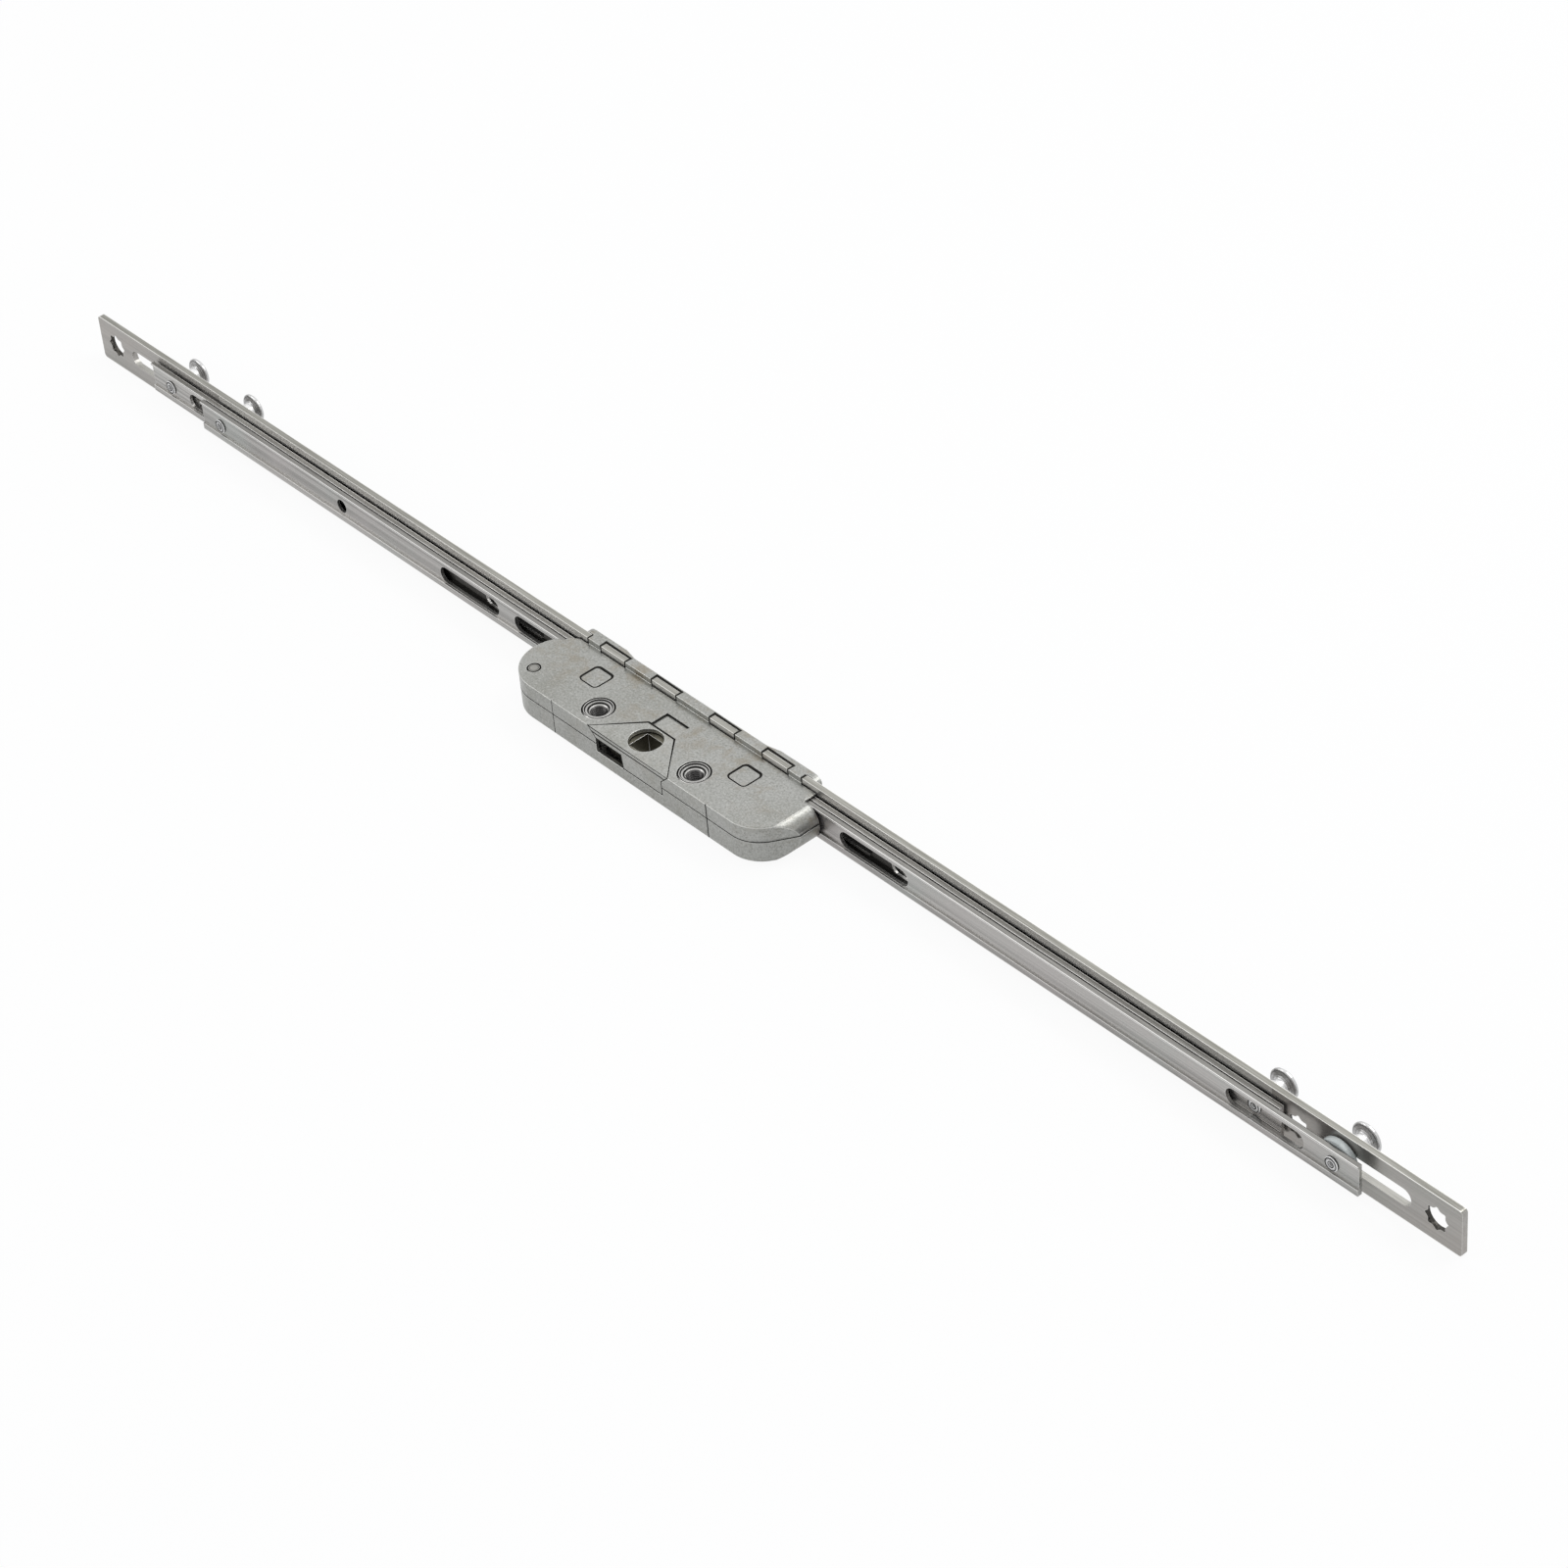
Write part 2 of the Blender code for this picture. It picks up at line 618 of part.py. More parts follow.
def make_collar(name, low, high):
    """One half of the strip, with its corners rounded as seen from the front."""
    bm = bmesh.new()
    add_prism(bm, [collar_plan()], "Z", low, high)
    collar = tool_object(name, bm)
    h = BAR_WIDTH / 2
    bm = bmesh.new()
    outline = rounded_rectangle(-COLLAR_HALF, -h, COLLAR_HALF, h, COLLAR_CORNER, 7)
    add_prism(bm, [outline], "Y", 0.0, 4 * BAR_FRONT)
    combine(collar, tool_object(name + "_outline", bm), "INTERSECT")
    return collar


def add_fingers(bm, side):
    """Fingers that pass through the notches of the bar, on the +Z or -Z edge."""
    inside = CHANNEL_HALF_Z + 0.04 * MM
    outside = CASE_HALF_Z - 0.04 * MM
    top = BAR_WIDTH / 2
    root = -1.0 * MM
    front = BAR_FRONT + SEAM + COLLAR_THICKNESS / 2
    outline = [(root, side * inside), (front, side * inside), (front, side * top),
               (0.0, side * top), (0.0, side * outside), (root, side * outside)]
    for a, b in finger_spans():
        add_prism(bm, [outline], "X", a, b)


def add_cavity(bm):
    """Room for the gears, with the rail channel through both ends."""
    r = 4.0 * MM
    plan = rounded_rectangle(-CASE_LEFT_REACH + CASE_LEFT_BLOCK, CAVITY_BACK,
                             CASE_RIGHT_REACH - CASE_RIGHT_BLOCK, CHANNEL_BACK + 2 * r, r)
    add_prism(bm, [plan], "Z", -CAVITY_HALF_Z, CAVITY_HALF_Z)


def add_channel(bm):
    loop = rectangle(CHANNEL_BACK, -CHANNEL_HALF_Z, 2 * MM, CHANNEL_HALF_Z)
    add_prism(bm, [loop], "X", -1.2 * CASE_LEFT_REACH, 1.2 * CASE_RIGHT_REACH)


def add_end_steps(bm):
    """The skin over the rails stops short of the rounded ends."""
    spans = [(-1.2 * CASE_LEFT_REACH, -CASE_LEFT_REACH + SKIN_INSET_LEFT),
             (CASE_RIGHT_REACH - SKIN_INSET_RIGHT, 1.2 * CASE_RIGHT_REACH)]
    for low, high in spans:
        loop = rectangle(low, CHANNEL_BACK, high, 2 * MM)
        add_prism(bm, [loop], "Z", -2 * CASE_HALF_Z, 2 * CASE_HALF_Z)


def screw_places():
    return (-SCREW_PITCH / 2, SCREW_PITCH / 2)


def post_plan(side, grow):
    s = POST_SIDE / 2 + grow
    x = side * POST_X
    return rounded_rectangle(x - s, -POST_Y - s, x + s, -POST_Y + s, POST_CORNER + grow, 5)


def insert_slope():
    return (INSERT_HALF_OUTER - INSERT_HALF_INNER) / (CASE_DEPTH - INSERT_INNER_Y)


def insert_plan(grow, overrun=0.0):
    """Plan of the insert plate; grow opens it out for the seat in the casing."""
    slope = insert_slope()
    side = grow * math.sqrt(1 + slope * slope)
    inner_y = -INSERT_INNER_Y + grow
    inner = INSERT_HALF_INNER + side - slope * grow
    outer = INSERT_HALF_OUTER + side + slope * overrun
    back = -CASE_DEPTH - overrun
    tongue = TONGUE_HALF + grow
    tongue_y = -TONGUE_END_Y + grow
    return [(-outer, back), (outer, back), (inner, inner_y), (tongue, inner_y),
            (tongue, tongue_y), (-tongue, tongue_y), (-tongue, inner_y), (-inner, inner_y)]


def skirt_outline(grow, top, window):
    """Outline of the insert on the back wall in (X, Z); a window is left beside its middle."""
    slope = (INSERT_HALF_OUTER - SKIRT_HALF) / (CASE_HALF_Z - SKIRT_TAPER_Z)
    s = SKIRT_HALF + grow
    o = s + slope * (top - SKIRT_TAPER_Z)
    foot = -SKIRT_FOOT - grow
    shoulder = SKIRT_TAPER_Z
    right = [(s, foot), (s, shoulder), (o, top), (-o, top), (-s, shoulder)]
    if not window:
        return right + [(-s, foot)]
    return right + [(-WINDOW_EDGE_X - 0.6 * MM, shoulder), (-WINDOW_EDGE_X, foot)]


def insert_seat(name):
    """Cutter for the seat of the insert plate in the top of the casing."""
    top = CASE_HALF_Z + 1 * MM
    bm = bmesh.new()
    add_prism(bm, [insert_plan(SEAM, 1 * MM)], "Z", CAVITY_HALF_Z - 0.1 * MM, top)
    seat = tool_object(name, bm)
    bm = bmesh.new()
    add_prism(bm, [skirt_outline(SEAM, 2 * CASE_HALF_Z, False)], "Y", -2 * CASE_DEPTH, 0.0)
    combine(seat, tool_object(name + "_limit", bm), "INTERSECT")
    return seat


def skirt_seat(name):
    bm = bmesh.new()
    add_prism(bm, [skirt_outline(SEAM, CAVITY_HALF_Z, False)], "Y", -CASE_DEPTH - 1 * MM,
              CAVITY_BACK + 0.5 * MM)
    return tool_object(name, bm)


def add_back_wall_seams(bm):
    for side in (-1, 1):
        x = side * WALL_SEAM_X
        loop = rectangle(x - WALL_SEAM_WIDTH / 2, -CASE_DEPTH - 1 * MM,
                         x + WALL_SEAM_WIDTH / 2, -CASE_DEPTH + WALL_SEAM_DEPTH)
        add_prism(bm, [loop], "Z", -2 * CASE_HALF_Z, 2 * CASE_HALF_Z)


def make_half(name, low, high, mat):
    """One half of the casing: body, fingers and collar, before its openings."""
    side = 1 if high > CASE_HALF_Z - 1 * MM else -1
    bm = bmesh.new()
    add_prism(bm, [case_plan()], "Z", low, high)
    half = make_object(name, bm, mat)
    bm = bmesh.new()
    add_prism(bm, [rounded_end_section()], "Y", -CASE_DEPTH - 1 * MM, 1 * MM)
    combine(half, tool_object(name + "_ends", bm), "INTERSECT")
    bm = bmesh.new()
    add_channel(bm)
    combine(half, tool_object(name + "_channel", bm), "DIFFERENCE")
    bm = bmesh.new()
    add_cavity(bm)
    combine(half, tool_object(name + "_cavity", bm), "DIFFERENCE")
    bm = bmesh.new()
    add_end_steps(bm)
    add_back_wall_seams(bm)
    combine(half, tool_object(name + "_steps", bm), "DIFFERENCE")
    bm = bmesh.new()
    add_fingers(bm, side)
    combine(half, tool_object(name + "_fingers", bm), "UNION")
    edge = side * BAR_WIDTH / 2
    split = low if side > 0 else high
    collar = make_collar(name + "_collar", min(split, edge), max(split, edge))
    combine(half, collar, "UNION")
    return half


def make_case_upper(mat):
    half = make_half("case_upper", PARTING_Z + SEAM / 2, CASE_HALF_Z, mat)
    top = CASE_HALF_Z + 1 * MM
    bm = bmesh.new()
    for x in screw_places():
        add_prism(bm, [circle(x, SPINDLE_Y, BUSH_FLANGE_RADIUS + FIT, 32)], "Z",
                  CASE_HALF_Z - BUSH_FLANGE_THICKNESS - FIT, top)
    combine(half, tool_object("case_upper_counterbores", bm), "DIFFERENCE")
    bm = bmesh.new()
    for x in screw_places():
        add_prism(bm, [circle(x, SPINDLE_Y, BUSH_BODY_RADIUS + FIT, 32)], "Z", -top, top)
    for side in (-1, 1):
        add_prism(bm, [post_plan(side, POST_GAP)], "Z", 0.0, top)
    add_prism(bm, [circle(RIVET_LEFT_X, -RIVET_Y, RIVET_RADIUS + FIT, 24)], "Z", -top, top)
    add_prism(bm, [circle(RIVET_RIGHT_X, -RIVET_Y, RIVET_RADIUS + FIT, 24)], "Z", -top,
              RIVET_BLIND_Z + FIT)
    combine(half, tool_object("case_upper_holes", bm), "DIFFERENCE")
    combine(half, insert_seat("insert_seat"), "DIFFERENCE")
    combine(half, skirt_seat("skirt_seat_upper"), "DIFFERENCE")
    return half


def make_case_lower(mat):
    half = make_half("case_lower", -CASE_HALF_Z, PARTING_Z - SEAM / 2, mat)
    low = -CASE_HALF_Z - 1 * MM
    bm = bmesh.new()
    for side in (-1, 1):
        add_prism(bm, [post_plan(side, 0.0)], "Z", -CASE_HALF_Z + CASE_SKIN / 2, CASE_HALF_Z)
    combine(half, tool_object("case_lower_posts", bm), "UNION")
    bm = bmesh.new()
    for x in screw_places():
        add_prism(bm, [circle(x, SPINDLE_Y, BUSH_BODY_RADIUS + FIT, 32)], "Z", low, 2 * MM)
    add_prism(bm, [circle(0, SPINDLE_Y, SPINDLE_WINDOW_RADIUS, 36)], "Z", low, 0.0)
    for x in (RIVET_LEFT_X, RIVET_RIGHT_X):
        add_prism(bm, [circle(x, -RIVET_Y, RIVET_RADIUS + FIT, 24)], "Z", low, 2 * MM)
    for side in (-1, 1):
        axle = circle(side * POST_X, 0, AXLE_RADIUS + FIT, 20)
        seat = -POST_Y + POST_SIDE / 2 - AXLE_SEAT
        add_prism(bm, [axle], "Y", seat - FIT, 1 * MM)
    combine(half, tool_object("case_lower_holes", bm), "DIFFERENCE")
    combine(half, skirt_seat("skirt_seat_lower"), "DIFFERENCE")
    return half


def make_insert(mat):
    bm = bmesh.new()
    plate = insert_plan(0.0)
    body = [plate[0], plate[1], plate[2], plate[3], plate[6], plate[7]]
    add_prism(bm, [body], "Z", CAVITY_HALF_Z, CASE_HALF_Z)
    insert = make_object("spindle_insert", bm, mat)
    bm = bmesh.new()
    add_prism(bm, [skirt_outline(0.0, 2 * CASE_HALF_Z, False)], "Y", -2 * CASE_DEPTH, 0.0)
    combine(insert, tool_object("spindle_insert_limit", bm), "INTERSECT")
    bm = bmesh.new()
    tongue = rectangle(-TONGUE_HALF, -INSERT_INNER_Y - 1 * MM, TONGUE_HALF, -TONGUE_END_Y)
    add_prism(bm, [tongue], "Z", CAVITY_HALF_Z + 0.1 * MM, CASE_HALF_Z - TONGUE_SINK)
    combine(insert, tool_object("spindle_insert_tongue", bm), "UNION")
    bm = bmesh.new()
    add_prism(bm, [skirt_outline(-0.03 * MM, CAVITY_HALF_Z + 0.1 * MM, True)], "Y",
              -CASE_DEPTH + 0.01 * MM, CAVITY_BACK)
    combine(insert, tool_object("spindle_insert_skirt", bm), "UNION")
    bm = bmesh.new()
    add_prism(bm, [circle(0, SPINDLE_Y, SPINDLE_WINDOW_RADIUS, 36)], "Z", 0, 2 * CASE_HALF_Z)
    combine(insert, tool_object("spindle_insert_window", bm), "DIFFERENCE")
    return insert


def make_bush(name, x, mat):
    top = CASE_HALF_Z
    shoulder = top - BUSH_FLANGE_THICKNESS
    edge = 0.3 * MM
    dish = top - BUSH_DISH_DEPTH
    profile = [(BUSH_BORE_RADIUS, -top), (BUSH_BODY_RADIUS, -top), (BUSH_BODY_RADIUS, shoulder),
               (BUSH_FLANGE_RADIUS, shoulder), (BUSH_FLANGE_RADIUS, top - edge),
               (BUSH_FLANGE_RADIUS - edge, top), (BUSH_DISH_RADIUS, top),
               (BUSH_DISH_RADIUS - edge, dish), (BUSH_BORE_RADIUS + BUSH_COUNTERSINK, dish),
               (BUSH_BORE_RADIUS, dish - BUSH_COUNTERSINK)]
    bm = bmesh.new()
    add_revolve(bm, profile, "Z", Vector((x, SPINDLE_Y, 0)), 32)
    return make_object(name, bm, mat, smooth=True)


def make_rivet(name, x, low, high, mat):
    edge = 0.2 * MM
    profile = [(0, low), (RIVET_RADIUS - edge, low), (RIVET_RADIUS, low + edge),
               (RIVET_RADIUS, high - edge), (RIVET_RADIUS - edge, high), (0, high)]
    bm = bmesh.new()
    add_revolve(bm, profile, "Z", Vector((x, -RIVET_Y, 0)), 24)
    return make_object(name, bm, mat, smooth=True)


# Drive

def make_follower(mat, parent):
    pitch = 2 * math.pi / DRIVE_TEETH
    tip = DRIVE_RADIUS + DRIVE_MODULE
    root = DRIVE_RADIUS - 1.25 * DRIVE_MODULE
    lead = 1.0
    first = math.pi / 2 - lead * pitch
    teeth = gear_teeth(DRIVE_RADIUS, DRIVE_TEETH, DRIVE_ANGLE, tip, root, first,
                       DRIVE_SEGMENT_TEETH)
    start = math.degrees(first - pitch / 2)
    end = math.degrees(first + (DRIVE_SEGMENT_TEETH - 0.5) * pitch)
    heel = arc(0, 0, 0.8 * HUB_RADIUS, end, start, 16)
    outline = arc(0, 0, root, start, start + 1, 1) + teeth + arc(0, 0, root, end - 1, end, 1)
    outline = [(u, v + SPINDLE_Y) for u, v in outline + heel]
    bm = bmesh.new()
    add_prism(bm, [circle(0, SPINDLE_Y, HUB_RADIUS, 36)], "Z", -CASE_HALF_Z + HUB_SINK,
              CASE_HALF_Z - HUB_SINK)
    follower = make_object("follower", bm, mat, parent)
    bm = bmesh.new()
    add_prism(bm, [outline], "Z", -DRIVE_WIDTH / 2, DRIVE_WIDTH / 2)
    combine(follower, tool_object("follower_teeth", bm), "UNION")
    bm = bmesh.new()
    s = SPINDLE_SQUARE / 2
    bore = rectangle(-s, SPINDLE_Y - s, s, SPINDLE_Y + s)
    add_prism(bm, [bore], "Z", -CASE_THICKNESS, CASE_THICKNESS)
    combine(follower, tool_object("follower_bore", bm), "DIFFERENCE")
    return follower


def rack_ends():
    """Drive rack from end to end at rest: it fills the land between the pinion windows."""
    inset = WINDOW_REACH + RACK_LAND
    return -POST_X + inset, POST_X - STROKE - inset


def rack_rivet_places():
    low, high = rack_ends()
    return low + RACK_PAD / 2, high - RACK_PAD / 2


def make_rack(mat, parent):
    line = SPINDLE_Y + DRIVE_RADIUS
    pitch = math.pi * DRIVE_MODULE
    low, high = rack_ends()
    first = math.ceil((low + RACK_PAD) / pitch)
    count = math.floor((high - RACK_PAD) / pitch) - first
    edge = rack_edge(first * pitch, pitch, count, line, 0.9 * DRIVE_MODULE,
                     1.25 * DRIVE_MODULE, DRIVE_ANGLE, -1)
    pad = line + 1.25 * DRIVE_MODULE
    back = OUTER_WEB - FIT
    outline = [(low, pad)] + edge + [(high, pad), (high, back), (low, back)]
    bm = bmesh.new()
    add_prism(bm, [outline], "Z", -RACK_WIDTH / 2, RACK_WIDTH / 2)
    rack = make_object("drive_rack", bm, mat, parent)
    bm = bmesh.new()
    for x in rack_rivet_places():
        add_prism(bm, [circle(x, 0, RACK_RIVET_RADIUS + FIT, 20)], "Y", pad - 4 * MM, back + 2 * MM)
    combine(rack, tool_object("drive_rack_holes", bm), "DIFFERENCE")
    return rack


def make_rack_rivet(name, x, mat, parent):
    pad = SPINDLE_Y + DRIVE_RADIUS + 1.25 * DRIVE_MODULE
    head = pad - FIT
    r = RACK_RIVET_RADIUS
    far = OUTER_FRONT - 0.05 * MM
    profile = [(0, head - 0.5 * MM), (1.2 * r, head - 0.5 * MM), (1.6 * r, head - 0.2 * MM),
               (1.6 * r, head), (r, head), (r, far), (0, far)]
    bm = bmesh.new()
    add_revolve(bm, profile, "Y", Vector((x, 0, 0)), 16)
    return make_object(name, bm, mat, parent, smooth=True)


def make_pinion(name, x, mat, parent):
    root = PINION_RADIUS - PINION_ADDENDUM - 0.2 * MM
    pitch = 2 * math.pi / PINION_TEETH
    outline = gear_teeth(PINION_RADIUS, PINION_TEETH, PINION_ANGLE, PINION_TIP, root,
                         math.pi / 2, PINION_TEETH)
    outline = [(u + x, v) for u, v in outline]
    bore = circle(x, 0, AXLE_RADIUS + FIT, 20)
    bm = bmesh.new()
    low = OUTER_BACK - 0.25 * MM
    high = -AXLE_HEAD_THICKNESS - 2 * SEAM
    add_prism(bm, [outline, bore], "Y", low, high)
    return make_object(name, bm, mat, parent)


def make_axle(name, x, mat):
    low = -POST_Y + POST_SIDE / 2 - AXLE_SEAT
    neck = -AXLE_HEAD_THICKNESS - SEAM
    profile = [(0, low), (AXLE_RADIUS, low), (AXLE_RADIUS, neck), (AXLE_HEAD_RADIUS, neck),
               (AXLE_HEAD_RADIUS, -SEAM), (0, -SEAM)]
    bm = bmesh.new()
    add_revolve(bm, profile, "Y", Vector((x, 0, 0)), 20)
    return make_object(name, bm, mat, smooth=True)


def main():
    for obj in list(bpy.data.objects):
        bpy.data.objects.remove(obj, do_unlink=True)

    zinc = material("cast_zinc", (0.45, 0.46, 0.43), 0.5, 0.8)
    steel = material("plated_steel", (0.46, 0.45, 0.42), 0.38, 0.95)
    bar_steel = material("bar_steel", (0.44, 0.43, 0.39), 0.4, 0.95)
    bright = material("bright_steel", (0.62, 0.62, 0.62), 0.22, 1.0)
    nylon = material("nylon", (0.72, 0.75, 0.76), 0.4, 0.0)

    make_bar(bar_steel)
    make_case_upper(zinc)
    make_case_lower(zinc)
    make_insert(zinc)
    make_bush("handle_bush_left", -SCREW_PITCH / 2, bright)
    make_bush("handle_bush_right", SCREW_PITCH / 2, bright)
    make_rivet("case_rivet_left", RIVET_LEFT_X, -CASE_HALF_Z, CASE_HALF_Z, bright)
    make_rivet("case_rivet_right", RIVET_RIGHT_X, -CASE_HALF_Z, RIVET_BLIND_Z, bright)

    spindle = empty("spindle_axis", (0, SPINDLE_Y, 0))
    make_follower(steel, spindle)

    outer = empty("outer_slide", (0, OUTER_BACK, 0))
    inner = empty("inner_slide", (0, INNER_BACK, 0))
    make_rail("outer_rail", 1, OUTER_BACK, -1, steel, outer)
    make_rail("inner_rail", -1, INNER_BACK, 1, steel, inner)
    make_rack(steel, outer)
    for name, x in zip(("rack_rivet_left", "rack_rivet_right"), rack_rivet_places()):
        make_rack_rivet(name, x, bright, outer)
    make_cam("cam_outer_left", -CAM_INNER, OUTER_WEB, bright, outer)
    make_cam("cam_outer_right", CAM_OUTER, OUTER_WEB, bright, outer)
    make_cam("cam_inner_left", -CAM_OUTER, INNER_WEB, bright, inner)
    make_cam("cam_inner_right", CAM_INNER, INNER_WEB, bright, inner)
    make_spacer(nylon, outer)

    for side, word in ((-1, "left"), (1, "right")):
        x = side * POST_X
        pivot = empty("pinion_axis_" + word, (x, 0, 0))
        make_pinion("reversing_pinion_" + word, x, steel, pivot)
        make_axle("pinion_axle_" + word, x, bright)


main()
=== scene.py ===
"""Looks of the window espagnolette gearbox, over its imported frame.

X runs along the bar, Y out of the bar's front and Z up through the gearbox. X is 0 at the
spindle, Y on the bar's back face and Z halfway up. Lengths are in metres.
"""

import json
import math
from collections import namedtuple

import bmesh
import bpy
from mathutils import Matrix, Vector


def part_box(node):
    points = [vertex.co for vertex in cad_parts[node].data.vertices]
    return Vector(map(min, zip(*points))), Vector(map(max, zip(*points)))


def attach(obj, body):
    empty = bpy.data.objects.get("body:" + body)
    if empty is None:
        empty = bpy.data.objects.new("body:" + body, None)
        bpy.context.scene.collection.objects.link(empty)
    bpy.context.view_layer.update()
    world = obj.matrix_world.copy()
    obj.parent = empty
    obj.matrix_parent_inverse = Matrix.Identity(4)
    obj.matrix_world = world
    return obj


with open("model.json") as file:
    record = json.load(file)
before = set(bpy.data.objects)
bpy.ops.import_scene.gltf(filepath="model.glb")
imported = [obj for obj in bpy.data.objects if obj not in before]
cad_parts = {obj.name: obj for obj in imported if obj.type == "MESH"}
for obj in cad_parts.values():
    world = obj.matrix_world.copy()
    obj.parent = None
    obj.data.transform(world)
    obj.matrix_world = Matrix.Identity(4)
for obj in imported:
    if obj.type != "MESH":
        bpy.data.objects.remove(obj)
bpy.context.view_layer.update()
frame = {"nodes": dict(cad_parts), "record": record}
scene = bpy.context.scene
scene.view_settings.view_transform = "Standard"

MM = 0.001
X, Y, Z = 0, 1, 2
UP = Vector((0, 0, 1))
BACK = Vector((0, -1, 0))

# Places on the solids

FLOOR_Z = -8.2 * MM
SPINDLE_Y = -18 * MM
BUSH_X = 21.5 * MM
CASE_TOP = 6.1 * MM
CASE_MIDDLE_Y = -12 * MM
CASE_BACK = -25.2 * MM
CASE_DOME = 52 * MM             # where the rounded end of the casing begins
PARTING_TOP = 0.75 * MM         # top face of the lower half of the casing
INSERT_BACK = -25.195 * MM
TONGUE_HALF = 4.8 * MM          # half width of the insert's tongue
INSERT_RIM = 6.5 * MM           # round the follower, in the insert
POCKET_HALF = 6 * MM            # bounds of the tongue's pocket in the casing
POCKET_LOW = -13 * MM
POCKET_HIGH = -4 * MM
COLLAR_REACH = 51.5 * MM        # half length of the casing's collar
COLLAR_BACK = -2.5 * MM         # the parting line stops here, under the collar
BAR_EDGE = 8 * MM               # half the bar's width, where its tabs reach
TAB_FOOT = 5.2 * MM             # half the width between the notches
BUSH_BORE_RIM = 3.4 * MM        # between a bush's bore and its outer edge
BUSH_TOP_RIM = 4.6 * MM         # between the rings on a bush's top and its outer edge
GROOVE_NEAR = 34.7 * MM         # the upright grooves in the near wall
GROOVE_FAR = 34.9 * MM
LIP_LOW = -3.05 * MM            # lips of the rails' channels
LIP_HIGH = 4.6 * MM
LIP_DEPTH = 0.6 * MM
STAR_REACH = 4.3 * MM           # half the width of a star-shaped screw hole
ALWAYS_COVERED = 200 * MM       # the inner rail is hidden this far from the spindle, either way
RAIL_END = 5 * MM               # the bar's back face is lightened and painted dark as shade up to here from a rail's end

# Painted shade and highlight lines

SKIN = 0.1 * MM                 # depth of a face that is coloured by its place
EDGE_LINE = 0.15 * MM           # half width of a painted highlight along a long edge
FOLD_LINE = 0.13 * MM           # half width of a painted shade line in an inner corner
CUT_INSET = 0.5 * MM            # walls of holes begin this far inside a strip's long sides
PLATE_LINE = 0.4 * MM           # widths of the painted shade lines over the joints
POCKET_LINE = 0.42 * MM
SKIRT_LINE = 0.3 * MM
POST_LINE = 0.62 * MM
RIM_LINE = 0.34 * MM
TAB_LINE = 0.6 * MM
TAB_END_LINE = 0.42 * MM
GROOVE_LINE = 0.34 * MM
GROOVE_LAP = 0.04 * MM
CAM_LINE = 0.24 * MM
PARTING_BELOW = 0.03 * MM       # the parting line's reach below and above its level
PARTING_ABOVE = 0.33 * MM
LINE_LAP = 0.09 * MM            # how far a line laps over the edge that it follows
LINE_LIFT = 0.012 * MM          # height of a line above the metal
WIDER_TO_FRONT = 0.45           # how much wider a painted shade line is on the side away from the camera, as painted shadow
NARROWER_TO_RIGHT = 0.2         # and how much narrower on the side towards it

WELD = 0.002 * MM               # corners nearer than this are one
LEVEL_REACH = 0.015 * MM        # faces nearer than this to a level lie in it
FLAT = 0.999                    # cosine above which a face looks along an axis
LEANING = 0.5                   # cosine above which an edge leans towards an axis
SQUARE_ON = 0.9                 # cosine above which an edge faces an axis
MITRE_LIMIT = 0.6               # keeps the mitre of a sharp corner short

RING_LIMIT = 5.2                # largest radius that rings reach, in millimetres
# Near black for painted shade in crevices, inner corners and the parts that a rail always hides.
PAINTED_SHADE = (0.012, 0.011, 0.009)

Edge = namedtuple("Edge", "start end outward")


# Node helpers

# Sockets of a Mix node that mixes colours
MIX_FACTOR, MIX_A, MIX_B, MIX_RESULT = 0, 6, 7, 2


